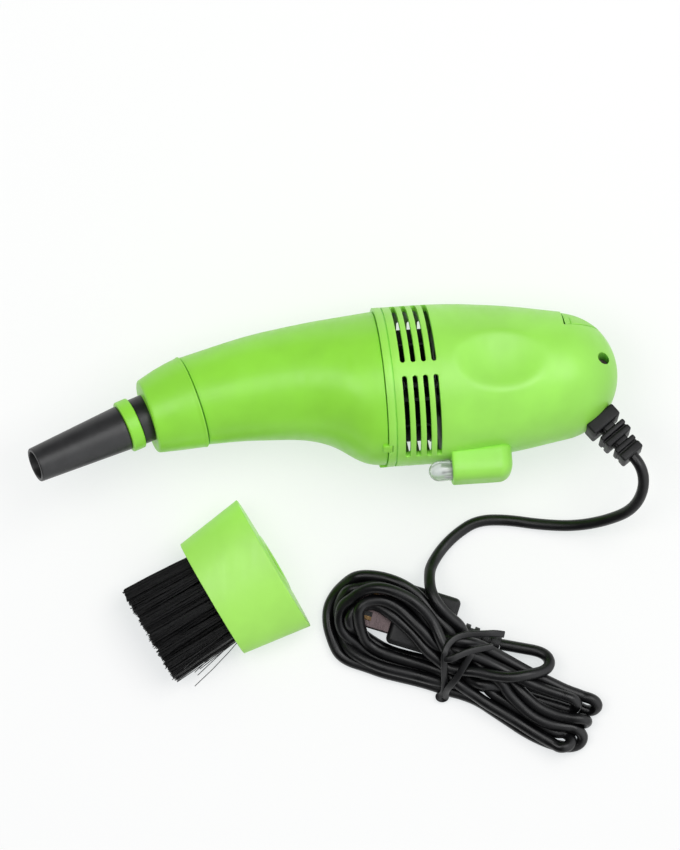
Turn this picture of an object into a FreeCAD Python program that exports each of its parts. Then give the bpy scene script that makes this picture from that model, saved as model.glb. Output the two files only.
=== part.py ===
"""Desktop mini vacuum cleaner with its brush head, USB cord and plug.

Millimetres, +Z up, standing on Z = 0.  The vacuum lies on its side, so +X runs
from the nozzle to the tail.  The body is made in its own frame, in which x runs
along the motor shaft to the tail, y points to the switch and z to the left side,
and is then turned and laid down by LAY_VACUUM.  The brush head has a frame of its
own too, with x from the bristles to the socket.
"""
import FreeCAD, Part
import math
import os

from FreeCAD import Placement, Rotation, Vector

# ---- how the pieces of the set lie on the table ---------------------------------------
VACUUM_AT = Vector(14.6, 28.0, 21.9)       # shaft axis at the front of the motor housing
VACUUM_YAW = 3.8                           # tail swung away from the brush
VACUUM_PITCH = 4.5                         # tail down, nozzle up
VACUUM_ROLL = -15.5                        # lamp side rolled up
BRUSH_AT = Vector(-32.3, -27.7, 8.5)       # middle of the bristle end
BRUSH_YAW = 30.4
PLUG_AT = Vector(23.2, -33.5, 3.95)        # middle of the plug's moulded grip
PLUG_YAW = -17.0

# ---- motor housing ----------------------------------------------------------------------
WALL = 1.6
TAIL_X = 59.6
HOUSING_R = 20.9
HOUSING_PROFILE = [(-9.0, HOUSING_R), (13.0, HOUSING_R), (24.0, 20.0), (34.0, 18.75)]
TAIL_BALL_R = 17.0                         # the tail ends in a ball that the taper runs into
CAVITY_R = 19.2
CAVITY_PROFILE = [(-2.0, CAVITY_R), (14.0, CAVITY_R), (46.0, 14.6), (52.4, 11.4), (56.6, 5.6)]
JOINT_X = -1.0                             # groove behind the front rim
JOINT_DROOP = 1.7                          # everything in front hangs by this angle
GROOVE_WIDTH, GROOVE_DEPTH = 0.36, 0.45
RIM_FRONT, RIM_DEPTH = -3.1, 3.0
SPIGOT_WALL = 1.3
SPIGOT_R = 18.6                            # tube of the housing that the dust cup slips over
SPIGOT_FRONT = -9.0
SLOT_FIRST, SLOT_PITCH, SLOT_COUNT, SLOT_WIDTH = 1.9, 2.75, 4, 1.35
SLOT_UPPER = (1.2, 76.0)                   # degrees from the side towards the switch
SLOT_LOWER = (8.4, 78.5)                   # degrees from the side towards the lamp
DISH_AT, DISH_FLOOR, DISH_R = (31.3, 0.9), 16.75, 29.2    # round dish for the finger on each side
SCREW_AT = (55.3, 0.8)
SCREW_HEAD_R, SCREW_HEAD_HEIGHT, SCREW_SHANK_R, SCREW_END_Z = 1.5, 1.1, 0.9, -6.0
SCREW_CROSS_WIDTH, SCREW_CROSS_DEPTH = 0.36, 0.5
SCREW_HOLE_R, SCREW_CORE_R = 1.6, 0.95
SCREW_BOSS_R, SCREW_BOSS_HALF = 3.4, 9.0
SCREW_SEAT_Z = 3.2
LUG_ANGLE = 23.0                           # lugs of the cup, degrees from its underside
LUG_HALF_WIDTH, LUG_DEPTH, LUG_PROUD = 1.3, 1.7, 0.05
LUG_FRONT, LUG_REAR, LUG_GAP = -4.7, -2.2, 0.15

# ---- dust cup, nose and nozzle ----------------------------------------------------------
CUP_WALL = 1.4
CUP_SOCKET_GAP = 0.2                       # round the spigot of the housing
# top point, bottom point and half width of each section of the cup, joint to nose
CUP_SECTIONS = [((-4.0, 19.9), (-2.8, -20.3), 20.1), ((-9.5, 19.35), (-7.6, -19.6), 19.8),
                ((-15.0, 18.8), (-12.2, -16.9), 19.0), ((-20.5, 18.2), (-16.6, -14.2), 17.9),
                ((-28.0, 17.2), (-23.5, -12.3), 16.3), ((-36.5, 15.8), (-31.5, -11.8), 14.8),
                ((-45.0, 13.8), (-39.5, -11.6), 13.4), ((-55.2, 11.1), (-48.7, -11.9), 12.0)]
# the same for the nose, rear to front
NOSE_SECTIONS = [((-55.6, 11.35), (-49.0, -12.45), 12.35), ((-61.2, 8.75), (-55.6, -12.95), 11.25),
                 ((-66.6, 5.6), (-62.0, -13.3), 9.65)]
NOSE_WALL = 1.5
NOSE_PLUG_R, NOSE_PLUG_WALL, NOSE_PLUG_LENGTH = 10.1, 1.2, 3.2     # ring that plugs into the cup
NOSE_FLANGE_R, NOSE_FLANGE = 11.4, 2.0
AXIS_START = Vector(-64.2, -3.9, 0.0)      # where the nozzle axis leaves the nose
AXIS_DROOP = 19.8
STEP_R, STEP_LENGTH, STEP_ROOT = 6.2, 3.4, 1.2            # thick part of the black spigot
PIPE_R, PIPE_LENGTH = 5.2, 3.0             # thin part inside the collar
AIR_R = 3.9
NECK_R, NECK_ROOT, NECK_AIR_R = 4.5, 3.2, 3.6
COLLAR_R, COLLAR_WIDTH, COLLAR_CHAMFER = 6.9, 3.5, 0.4
COLLAR_TUBE_R, COLLAR_TUBE_LENGTH = 4.85, 5.0
NOZZLE_BASE_R, NOZZLE_TIP_R, NOZZLE_LENGTH = 6.0, 4.6, 25.4
NOZZLE_WALL, NOZZLE_BORE_STEP, MOUTH_BEVEL = 0.95, 0.5, 6.0
FIT = 0.05                                 # radial clearance of parts that slide or turn

# ---- fan, motor and filter --------------------------------------------------------------
FAN_FRONT, FAN_BACK, FAN_R, FAN_EYE_R, FAN_BLADES = 1.4, 9.4, 15.0, 9.0, 12
FAN_HUB_R, FAN_HUB_FRONT = 4.2, 4.3
FAN_PLATE, FAN_BLADE = 1.0, 0.9
INLET_X, INLET_R, INLET_HOLE_R, INLET_THICK = -1.9, 17.15, 8.5, 1.4
INLET_LIP_R, INLET_LIP = 9.7, 2.2
MOTOR_FRONT, MOTOR_LENGTH, MOTOR_R, MOTOR_CHAMFER = 14.2, 25.0, 12.0, 1.0
BEARING_R, BEARING_LENGTH = 3.5, 1.6
SHAFT_R, SHAFT_FRONT, SHAFT_END = 1.0, 3.8, 37.2
MOUNT_X, MOUNT_THICK, MOUNT_R = 12.2, 2.0, 18.8
CRADLE_R, CRADLE_LENGTH, MOUNT_SCREW_R, MOUNT_SCREW_Y = 13.4, 11.0, 1.1, 8.0
END_CAP_R, END_CAP_LENGTH = 11.6, 3.2
TAG_Y, TAG_LENGTH, TAG_HALF_WIDTH, TAG_HALF_THICK = 6.0, 3.0, 1.2, 0.3
WIRE_X, WIRE_Z, WIRE_R, WIRE_ELBOW_R, WIRE_GAP = 44.9, 5.0, 0.5, 0.65, 0.02
FILTER_R, FILTER_RIM, FILTER_DEPTH = 17.0, 1.6, 13.0
FILTER_RING = (-8.6, -4.6)                 # front and back of the filter's ring
FILTER_BAR, FILTER_BAR_HALF = 1.4, 0.7
CLOTH_BACK, CLOTH_RIM_R, CLOTH_CAP_R, CLOTH_THICK = -6.2, 15.3, 11.0, 0.8

# ---- switch and lamp --------------------------------------------------------------------
ROCKER_FRONT, ROCKER_FLOOR, ROCKER_GAP, ROCKER_LIFT = 45.8, 10.15, 0.3, 0.4
ROCKER_PIVOT = Vector(51.4, 8.0, 0.0)
ROCKER_TILT = 3.0
ROCKER_SKIN = 1.7
PIVOT_R, PIVOT_START, PIVOT_END, PIVOT_END_GAP = 0.8, 4.1, 7.9, 0.2
EAR_Z, EAR_X, EAR_Y, EAR_SKIN = (3.5, 4.7), (-2.2, 0.4), (-1.3, 5.0), 1.0      # X and Y from the pivot
RIB_Z, RIB_HALF_LENGTH, RIB_Y = (6.8, 14.0), 2.2, (-1.8, 1.5)
BOARD_LOW, BOARD_HIGH = (44.6, 0.2, -6.5), (51.2, 1.6, 6.5)
SWITCH_LOW, SWITCH_HIGH = (45.4, 1.6, -3.2), (51.6, 6.4, 3.2)
PIN_X, PIN_R, PIN_HOLE_R, PIN_Y = (46.6, 48.5, 50.4), 0.4, 0.5, (-1.0, 2.0)
POD_FRONT, POD_REAR, POD_BOTTOM, POD_HALF, POD_FILLET = 13.95, 29.9, -27.2, 5.3, 3.6
POD_ROOT = -12.0
LAMP_R, LAMP_Y, LAMP_LENGTH, LAMP_SEAT, LAMP_GAP = 2.65, -23.75, 6.0, 4.5, 0.1

# ---- cord and its ends ------------------------------------------------------------------
CORD_D = 3.0
RELIEF_AT = Vector(53.4, -12.1, 0.0)
RELIEF_DROP = 53.0                         # degrees below the tail direction
# start, length, half width and half height of each block, then of each bridge between blocks
RELIEF_BLOCKS = [(0.0, 3.6, 4.5, 4.2), (4.9, 3.6, 4.0, 3.8), (9.7, 4.3, 3.3, 3.2)]
RELIEF_BRIDGES = [(3.5, 1.5, 1.6, 3.4), (8.4, 1.4, 1.8, 2.9)]
RELIEF_SLITS, RELIEF_SLIT_WIDTH, RELIEF_SLIT_ROOT = (6.5, 11.4), 0.5, 2.1
RELIEF_ROUND = 0.3                         # share of the smaller half size
RELIEF_NECK_R, RELIEF_NECK = 2.3, 2.5
RELIEF_HOLE_R, RELIEF_HOLE_HALF = 2.6, 4.0
RELIEF_LENGTH = 14.0
CORD_EXIT = 3.5                            # first run, straight out of the strain relief
# the other corners of the cord's route, down to the table and along it to the hank
CORD_ROUTE = [(81.0, 1.2, 20.4), (78.1, -4.2, 15.0), (71.6, -7.0, 9.4),
              (63.2, -8.6, 4.6), (53.8, -8.2, 1.9), (45.0, -6.9, 1.55), (37.4, -7.1, 1.6),
              (32.2, -10.6, 1.55), (28.1, -15.0, 1.6), (24.9, -19.6, 1.9), (24.2, -24.8, 2.6)]
CORNER_SHARE = 0.45                        # of the shorter run that an arc takes at a corner
HANK_HEIGHT, HANK_EDGE, HANK_FOOT = 7.4, 1.8, 0.6
PAD_SIDES = 56
HANK_OUTLINE = [(-3.6, -32.0), (-0.5, -25.0), (8.5, -21.2), (17.5, -22.6), (24.5, -26.0), (31.2, -31.6),
                (38.5, -34.6), (46.0, -36.2), (54.0, -39.6), (58.6, -44.8), (62.4, -48.0), (69.6, -52.4),
                (70.9, -57.6), (67.2, -60.6), (67.4, -65.4), (61.2, -68.4), (50.5, -64.6), (41.0, -58.6),
                (32.0, -52.6), (22.0, -52.2), (10.0, -50.6), (1.0, -46.2), (-2.8, -40.4)]
BRIDGE_HEIGHT = 10.6
BRIDGE_OUTLINE = [(14.5, -25.6), (23.5, -27.0), (30.5, -33.6), (38.6, -38.8), (42.4, -43.8), (38.2, -49.6),
                  (30.4, -47.6), (21.5, -41.2), (15.0, -34.0)]
TIE_AT = Vector(34.0, -42.6, 5.6)
TIE_YAW = -27.0
TIE_HALF_WIDTH, TIE_HALF_HEIGHT, TIE_THICK, TIE_WIDTH = 10.3, 5.4, 1.0, 1.5
TIE_TURNS, TIE_CORNER_R = (-2.2, 1.0), 3.6
KNOT_R, KNOT_LIFT, KNOT_START, KNOT_END = 1.5, 0.4, (-1.2, 1.4), (2.0, 2.6)
TAIL_R = 0.75
# start and end of each free end of the tie, with the height above the band last
TIE_TAILS = [((0.8, 2.2, 0.8), (7.6, 8.4, 1.6)), ((0.8, 2.0, 0.6), (8.4, 4.2, 0.6))]
HANK_GAP = 0.1                             # round the plug and the tie in the hank

# ---- USB plug ---------------------------------------------------------------------------
GRIP_LENGTH, GRIP_WIDTH, GRIP_HEIGHT, GRIP_ROUND = 16.2, 16.6, 7.8, 1.6
SHELL_LENGTH, SHELL_WIDTH, SHELL_HEIGHT, SHELL_WALL, SHELL_ROUND = 12.0, 12.0, 4.5, 0.3, 0.5
SHELL_ROOT = 4.0
SHELL_FRONT, SHELL_BACK = -GRIP_LENGTH / 2 - SHELL_LENGTH, -GRIP_LENGTH / 2 + SHELL_ROOT
WINDOW_X, WINDOW_Y, WINDOW_SIZE = 4.4, 2.9, 2.4
TONGUE_FRONT, TONGUE_HALF, TONGUE_Z, TONGUE_BACK_GAP = 0.8, 5.5, (-1.9, -0.1), 0.1
CONTACT_Y, CONTACT_FRONT, CONTACT_HALF, CONTACT_TOP = (-3.5, -1.0, 1.0, 3.5), 1.6, 0.5, 0.15
PLUG_RELIEF_LENGTH, PLUG_RELIEF_R, PLUG_RELIEF_CORE_R = 13.0, 3.1, 1.9
PLUG_RIBS, PLUG_RIB_FIRST, PLUG_RIB_PITCH, PLUG_RIB_WIDTH, PLUG_RIB_STEP = 5, 0.6, 2.5, 1.3, 0.22

# ---- brush head -------------------------------------------------------------------------
BRUSH_DEPTH, BRUSH_WALL, BRUSH_BACK_WALL = 18.8, 1.5, 1.8
BRUSH_FRONT_AXES = (16.6, 8.5)
BRUSH_BACK_AXES = (19.2, 9.35)
# tapered side flat on the table
BRUSH_PITCH = -math.degrees(math.atan2(BRUSH_BACK_AXES[1] - BRUSH_FRONT_AXES[1], BRUSH_DEPTH))
SOCKET_BOSS_R, SOCKET_PROUD, SOCKET_R, SOCKET_LENGTH, SOCKET_WALL = 8.5, 0.7, 5.3, 7.0, 1.5
PLATE_AT, PLATE_THICK, PLATE_GAP = 1.6, 2.4, 0.1
LEDGE_DEPTH, LEDGE_OUT, LEDGE_IN = 1.4, 0.5, 1.0
SLOT_HALF_LENGTH, SLOT_HALF_WIDTH = 8.5, 2.2
TUFTS, TUFT_RING, TUFT_R, TUFT_SIDES = 18, (11.6, 5.0), 0.85, 6
TUFT_LENGTH, TUFT_SEAT = 22.0, 1.4
TUFT_SPREAD = 1.08

LAY_VACUUM = Placement(VACUUM_AT, Rotation(VACUUM_YAW, VACUUM_PITCH, VACUUM_ROLL))
LAY_BRUSH = Placement(BRUSH_AT, Rotation(BRUSH_YAW, BRUSH_PITCH, 0.0))
LAY_PLUG = Placement(PLUG_AT, Rotation(PLUG_YAW, 0.0, 0.0))
X, Y, Z = Vector(1, 0, 0), Vector(0, 1, 0), Vector(0, 0, 1)
ORIGIN = Vector(0, 0, 0)
OVAL_SIDES = 48
FAR = 90.0                                 # past the end of every piece, for cutting boxes
PAST = 1.0                                 # how far a cutter runs past its face, or a bar into its neighbour


# ---- helpers ----------------------------------------------------------------------------
def cylinder(radius, start, end):
    """Round bar between two points."""
    return Part.makeCylinder(radius, (end - start).Length, start, end - start)


def shaft_bar(radius, start, end):
    """Round bar on the shaft between two places along it."""
    return cylinder(radius, X * start, X * end)


def box(low, high):
    """Box between two corners."""
    return Part.makeBox(high[0] - low[0], high[1] - low[1], high[2] - low[2], Vector(*low))


def rounded_bar(low, high, radius):
    """Box with the four edges along x rounded."""
    bar = box(low, high)
    along = [edge for edge in bar.Edges if edge.BoundBox.XLength > (high[0] - low[0]) / 2]
    return bar.makeFillet(radius, along)


def joined(shapes):
    """One solid from overlapping ones."""
    return shapes[0].multiFuse(shapes[1:]).removeSplitter()


def round_edges(shape):
    """The circular edges of a shape."""
    return [edge for edge in shape.Edges if isinstance(edge.Curve, Part.Circle)]


def oval_wire(centre, half_a, half_b, sides=OVAL_SIDES):
    """Closed oval of many short straight sides, from its centre and two half axes."""
    points = []
    for number in range(sides):
        angle = 2 * math.pi * (number + 0.5) / sides
        points.append(centre + half_a * math.cos(angle) + half_b * math.sin(angle))
    return Part.makePolygon(points + points[:1])


def taper(radius_start, radius_end, start, end):
    """Many-sided tapered bar between two points of the xy plane."""
    across = Z.cross(end - start).normalize()
    wires = [oval_wire(point, across * radius, Z * radius)
             for point, radius in ((start, radius_start), (end, radius_end))]
    return loft(wires)


def closed_curve(points):
    """Smooth closed curve through points."""
    curve = Part.BSplineCurve()
    curve.interpolate(points, PeriodicFlag=True)
    return curve


def section_frame(top, bottom):
    """Centre, upward direction and half height of a section."""
    top, bottom = Vector(*top), Vector(*bottom)
    half_height = (top - bottom).Length / 2
    return (top + bottom) / 2, (top - bottom).normalize(), half_height


def section(top, bottom, half_width, inset=0.0):
    """Oval section of the body, from its top point, bottom point and half width."""
    centre, up, half_height = section_frame(top, bottom)
    return oval_wire(centre, up * (half_height - inset), Z * (half_width - inset))


def loft(wires):
    """Solid through closed wires, straight from each one to the next."""
    return Part.makeLoft(wires, True, True)


def revolved(outline):
    """Solid of revolution about the shaft from an outline that starts and ends on it."""
    return Part.Face(Part.Wire(outline)).revolve(ORIGIN, X, 360)


def housing_body(inset=0.0):
    """Outer form of the motor housing, made smaller by inset: a drum, tapers and a ball."""
    points = [Vector(x, radius - inset, 0) for x, radius in HOUSING_PROFILE]
    ball_at, ball_r = Vector(TAIL_X - TAIL_BALL_R, 0, 0), TAIL_BALL_R - inset
    to_ball = ball_at - points[-1]
    turn = math.degrees(math.asin(ball_r / to_ball.Length))
    along = Rotation(Z, turn).multVec(to_ball).normalize()
    tangent = points[-1] + along * math.sqrt(to_ball.Length ** 2 - ball_r ** 2)
    end = ball_at + X * ball_r
    middle = ball_at + (tangent + end - ball_at * 2).normalize() * ball_r
    foot = Vector(points[0].x, 0, 0)
    drum = Part.makePolygon([foot] + points + [tangent])
    return revolved(drum.Edges + [Part.Arc(tangent, middle, end).toShape(), Part.makeLine(end, foot)])


def housing_cavity():
    """Hollow of the motor housing."""
    points = [Vector(x, radius, 0) for x, radius in CAVITY_PROFILE]
    feet = [Vector(points[0].x, 0, 0), Vector(points[-1].x, 0, 0)]
    return revolved(Part.makePolygon([feet[0]] + points + [feet[1], feet[0]]).Edges)


def finger_dish(side, grow=0.0):
    """Ball that presses the finger dish into one side of the housing."""
    return Part.makeSphere(DISH_R + grow, Vector(*DISH_AT, side * (DISH_FLOOR + DISH_R)))


def in_front_frame(shape):
    """Turn a shape made square to the shaft into the drooping frame of the front."""
    turned = shape.copy()
    turned.rotate(Vector(JOINT_X, 0, 0), Z, JOINT_DROOP)
    return turned


def nozzle_point(distance):
    """Point on the nozzle axis at a distance in front of the nose."""
    angle = math.radians(AXIS_DROOP)
    return AXIS_START + Vector(-math.cos(angle), -math.sin(angle), 0) * distance


# ---- motor housing ----------------------------------------------------------------------
def slot_cutter():
    """Four ring slots on each side, each split by a bar at the middle of the side."""
    cutters = []
    for number in range(SLOT_COUNT):
        x = SLOT_FIRST + number * SLOT_PITCH
        ring = shaft_bar(HOUSING_R + PAST, x - SLOT_WIDTH / 2, x + SLOT_WIDTH / 2)
        ring = ring.cut(shaft_bar(CAVITY_R - PAST, x - SLOT_WIDTH, x + SLOT_WIDTH))
        for low, high in (SLOT_UPPER, (-SLOT_LOWER[1], -SLOT_LOWER[0])):
            wedge = slot_wedge(x, low, high)
            cutters.append(ring.common(wedge))
            cutters.append(ring.common(wedge.mirror(ORIGIN, Z)))
    return in_front_frame(Part.makeCompound(cutters))


def slot_wedge(x, low, high):
    """Sector between two angles, measured from the +z side towards +y."""
    corners = [Vector(x - SLOT_WIDTH, 0, 0)]
    for angle in (low, (low + high) / 2, high):
        radians = math.radians(angle)
        corners.append(Vector(x - SLOT_WIDTH, FAR * math.sin(radians), FAR * math.cos(radians)))
    return Part.Face(Part.makePolygon(corners + [corners[0]])).extrude(X * SLOT_WIDTH * 2)


def rocker_well(gap):
    """The space above the rocker's floor and behind its front edge."""
    return box((ROCKER_FRONT - gap, ROCKER_FLOOR, -FAR), (FAR, FAR, FAR))


def housing_shell():
    """Whole motor housing: rim, spigot, slots, finger dishes, switch well and screw boss."""
    outer = housing_body().common(in_front_frame(box((RIM_FRONT, -FAR, -FAR), (FAR, FAR, FAR))))
    cavity = housing_cavity()
    for side in (1, -1):
        outer = outer.cut(finger_dish(side))
        cavity = cavity.cut(finger_dish(side, WALL))
    spigot = shaft_bar(SPIGOT_R, SPIGOT_FRONT, RIM_FRONT + RIM_DEPTH)
    bore = shaft_bar(SPIGOT_R - SPIGOT_WALL, SPIGOT_FRONT - PAST, RIM_DEPTH)
    shell = outer.fuse(in_front_frame(spigot)).cut(cavity).cut(in_front_frame(bore))
    shell = shell.cut(joint_groove()).cut(slot_cutter()).cut(rocker_well(ROCKER_GAP))
    boss_at = Vector(*SCREW_AT, 0)
    boss = cylinder(SCREW_BOSS_R, boss_at - Z * SCREW_BOSS_HALF, boss_at + Z * SCREW_BOSS_HALF)
    shell = shell.multiFuse([piece.common(cavity) for piece in (pivot_rib(1), pivot_rib(-1), boss)])
    shell = shell.cut(screw_hole()).cut(relief_hole()).cut(cup_lug(1, LUG_GAP)).cut(cup_lug(-1, LUG_GAP))
    reach = Z * (PIVOT_END + PIVOT_END_GAP)
    return shell.cut(cylinder(PIVOT_R + FIT, ROCKER_PIVOT - reach, ROCKER_PIVOT + reach))


def joint_groove():
    """Fine groove behind the front rim."""
    ring = shaft_bar(HOUSING_R + PAST, JOINT_X - GROOVE_WIDTH / 2, JOINT_X + GROOVE_WIDTH / 2)
    core = shaft_bar(HOUSING_R - GROOVE_DEPTH, JOINT_X - PAST, JOINT_X + PAST)
    return in_front_frame(ring.cut(core))


def pivot_rib(side):
    """Rib that holds one end of the rocker's pivot."""
    low, high = sorted((side * RIB_Z[0], side * RIB_Z[1]))
    return box((ROCKER_PIVOT.x - RIB_HALF_LENGTH, ROCKER_PIVOT.y + RIB_Y[0], low),
               (ROCKER_PIVOT.x + RIB_HALF_LENGTH, ROCKER_PIVOT.y + RIB_Y[1], high))


def screw_hole():
    """Counterbore from the left side, core hole into the right half."""
    x, y = SCREW_AT
    head = cylinder(SCREW_HOLE_R, Vector(x, y, SCREW_SEAT_Z), Vector(x, y, HOUSING_R))
    core = cylinder(SCREW_CORE_R, Vector(x, y, SCREW_END_Z - 0.5), Vector(x, y, SCREW_SEAT_Z + PAST))
    return head.fuse(core)


def relief_direction():
    """Direction in which the cord leaves the housing."""
    angle = math.radians(RELIEF_DROP)
    return Vector(math.cos(angle), -math.sin(angle), 0)


def relief_hole():
    """Hole for the neck of the strain relief."""
    reach = relief_direction() * RELIEF_HOLE_HALF
    return cylinder(RELIEF_HOLE_R, RELIEF_AT - reach, RELIEF_AT + reach)


def cup_lug(side, gap=0.0):
    """Small lug on the cup's rear edge that locks in the rim of the housing, made larger by gap."""
    low = -HOUSING_R - LUG_PROUD - gap
    high = low + LUG_DEPTH + 2 * gap
    lug = box((LUG_FRONT, low, -LUG_HALF_WIDTH - gap), (LUG_REAR + gap, high, LUG_HALF_WIDTH + gap))
    lug.rotate(ORIGIN, X, -side * LUG_ANGLE)
    return in_front_frame(lug)


def halves(shape):
    """Split a shape at the mould line, left half first."""
    left = shape.common(box((-FAR, -FAR, 0), (FAR, FAR, FAR)))
    right = shape.common(box((-FAR, -FAR, -FAR), (FAR, FAR, 0)))
    return left, right


# ---- dust cup and nose ------------------------------------------------------------------
def cup_solid(inset):
    """Solid of the dust cup through its sections."""
    return loft([section(top, bottom, half, inset) for top, bottom, half in CUP_SECTIONS])


def dust_cup():
    """Hollow cup, open at both ends, with two lugs at the rear edge."""
    socket = in_front_frame(shaft_bar(SPIGOT_R + CUP_SOCKET_GAP, SPIGOT_FRONT - 0.6, 0))
    cup = cup_solid(0.0).cut(cup_solid(CUP_WALL)).cut(socket)
    lugs = [cup_lug(side).cut(socket) for side in (1, -1)]
    return joined([cup] + lugs)


def nose_solid(inset=0.0):
    """Solid of the nose through its sections."""
    return loft([section(*item, inset=inset) for item in NOSE_SECTIONS])


def nose_cone():
    """Nose with a plug into the cup, a flange behind it and a thick front wall."""
    rear, rear_up, _ = section_frame(*NOSE_SECTIONS[0][:2])
    front, front_up, _ = section_frame(*NOSE_SECTIONS[-1][:2])
    rearward, forward = rear_up.cross(Z), front_up.cross(Z) * -1
    plug = cylinder(NOSE_PLUG_R, rear - rearward * 0.6, rear + rearward * NOSE_PLUG_LENGTH)
    flange = cylinder(NOSE_FLANGE_R, rear - rearward * NOSE_FLANGE, rear)
    throat = cylinder(NOSE_PLUG_R - NOSE_PLUG_WALL, rear - rearward * (NOSE_FLANGE + PAST),
                      rear + rearward * (NOSE_PLUG_LENGTH + PAST))
    wall = cylinder(FAR, front - forward * NOSE_WALL, front + forward * FAR)
    nose = nose_solid().cut(nose_solid(NOSE_WALL).cut(wall)).fuse(plug.fuse(flange).cut(throat))
    return nose.cut(cylinder(NECK_R + FIT, nozzle_point(-NECK_ROOT - 3), nozzle_point(STEP_LENGTH)))


def nose_spigot():
    """Black stepped spigot that carries the collar, with the air way through it."""
    neck = cylinder(NECK_R, nozzle_point(-NECK_ROOT), nozzle_point(0.4))
    step = cylinder(STEP_R, nozzle_point(-STEP_ROOT), nozzle_point(STEP_LENGTH))
    pipe = cylinder(PIPE_R, nozzle_point(STEP_LENGTH - 0.5), nozzle_point(STEP_LENGTH + PIPE_LENGTH))
    body = joined([step.cut(nose_solid()), pipe, neck])
    air_end = STEP_LENGTH + PIPE_LENGTH + PAST
    return body.cut(cylinder(NECK_AIR_R, nozzle_point(-NECK_ROOT - PAST), nozzle_point(air_end)))


def nozzle_collar():
    """Green collar that slips over the spigot, with a tube that holds the rubber nozzle."""
    start, end = STEP_LENGTH, STEP_LENGTH + COLLAR_WIDTH
    tube_end = end + COLLAR_TUBE_LENGTH
    ring = cylinder(COLLAR_R, nozzle_point(start + FIT), nozzle_point(end))
    ring = ring.makeChamfer(COLLAR_CHAMFER, round_edges(ring))
    nozzle_tube = cylinder(COLLAR_TUBE_R, nozzle_point(end - 0.5), nozzle_point(tube_end))
    socket = cylinder(PIPE_R + FIT, nozzle_point(0), nozzle_point(start + PIPE_LENGTH + 2 * FIT))
    air_way = cylinder(AIR_R, nozzle_point(0), nozzle_point(tube_end + PAST))
    return ring.fuse(nozzle_tube).cut(socket).cut(air_way)


def rubber_nozzle():
    """Tapered rubber nozzle with a bevelled mouth."""
    base = STEP_LENGTH + COLLAR_WIDTH + FIT
    tip = base + NOZZLE_LENGTH
    grip = base + COLLAR_TUBE_LENGTH + 0.3
    grip_r = COLLAR_TUBE_R + FIT
    outer = taper(NOZZLE_BASE_R, NOZZLE_TIP_R, nozzle_point(base), nozzle_point(tip))
    socket = cylinder(grip_r, nozzle_point(base - PAST), nozzle_point(grip))
    bore = taper(grip_r - NOZZLE_BORE_STEP, NOZZLE_TIP_R - NOZZLE_WALL, nozzle_point(grip - 0.1),
                 nozzle_point(tip + 0.1))
    bevel = cylinder(FAR, nozzle_point(tip), nozzle_point(tip + FAR))
    bevel.rotate(nozzle_point(tip), Y, MOUTH_BEVEL)
    return outer.cut(socket).cut(bore).cut(bevel)


# ---- inside ------------------------------------------------------------------------------
def fan_inlet_plate():
    """Disc with a bell-mouth hole that leads the air into the middle of the fan."""
    plate = shaft_bar(INLET_R, INLET_X, INLET_X + INLET_THICK)
    lip = shaft_bar(INLET_LIP_R, INLET_X, INLET_X + INLET_LIP)
    return plate.fuse(lip).cut(shaft_bar(INLET_HOLE_R, INLET_X - PAST, INLET_X + INLET_LIP + PAST))


def impeller():
    """Radial fan: back plate, hub and straight blades cut away at the eye."""
    foot, root_r = FAN_BACK + FAN_PLATE / 2, FAN_HUB_R - 0.6
    corners = [(foot, root_r), (foot, FAN_R), (FAN_FRONT, FAN_R), (FAN_FRONT, FAN_EYE_R),
               (FAN_HUB_FRONT, root_r)]
    profile = [Vector(x, radius, -FAN_BLADE / 2) for x, radius in corners + corners[:1]]
    blades = []
    for number in range(FAN_BLADES):
        blade = Part.Face(Part.makePolygon(profile)).extrude(Z * FAN_BLADE)
        blade.rotate(ORIGIN, X, 360.0 * number / FAN_BLADES)
        blades.append(blade)
    plate = shaft_bar(FAN_R, FAN_BACK, FAN_BACK + FAN_PLATE)
    hub = shaft_bar(FAN_HUB_R, SHAFT_FRONT - 0.4, FAN_BACK + FAN_PLATE)
    return plate.multiFuse([hub] + blades).cut(shaft_bar(SHAFT_R, 0, MOTOR_FRONT))


def motor_shaft():
    """Steel shaft from the fan through the motor."""
    return shaft_bar(SHAFT_R, SHAFT_FRONT, SHAFT_END)


def motor_can():
    """Drawn steel can with a bearing boss, hollow for shaft clearance."""
    can = shaft_bar(MOTOR_R, MOTOR_FRONT, MOTOR_FRONT + MOTOR_LENGTH)
    front_edges = [edge for edge in round_edges(can) if edge.CenterOfMass.x < MOTOR_FRONT + PAST]
    can = can.makeChamfer(MOTOR_CHAMFER, front_edges)
    bearing = shaft_bar(BEARING_R, MOTOR_FRONT - BEARING_LENGTH, MOTOR_FRONT + PAST)
    return can.fuse(bearing).cut(shaft_bar(SHAFT_R + FIT, 0, SHAFT_END + 0.5))


def motor_end_cap():
    """Plastic end of the motor with its two terminals."""
    start = MOTOR_FRONT + MOTOR_LENGTH
    end = start + END_CAP_LENGTH
    cap = shaft_bar(END_CAP_R, start, end)
    tags = []
    for side in (1, -1):
        y = side * TAG_Y
        tags.append(box((end - 0.5, y - TAG_HALF_WIDTH, -TAG_HALF_THICK),
                        (end + TAG_LENGTH, y + TAG_HALF_WIDTH, TAG_HALF_THICK)))
    return joined([cap] + tags)


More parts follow.
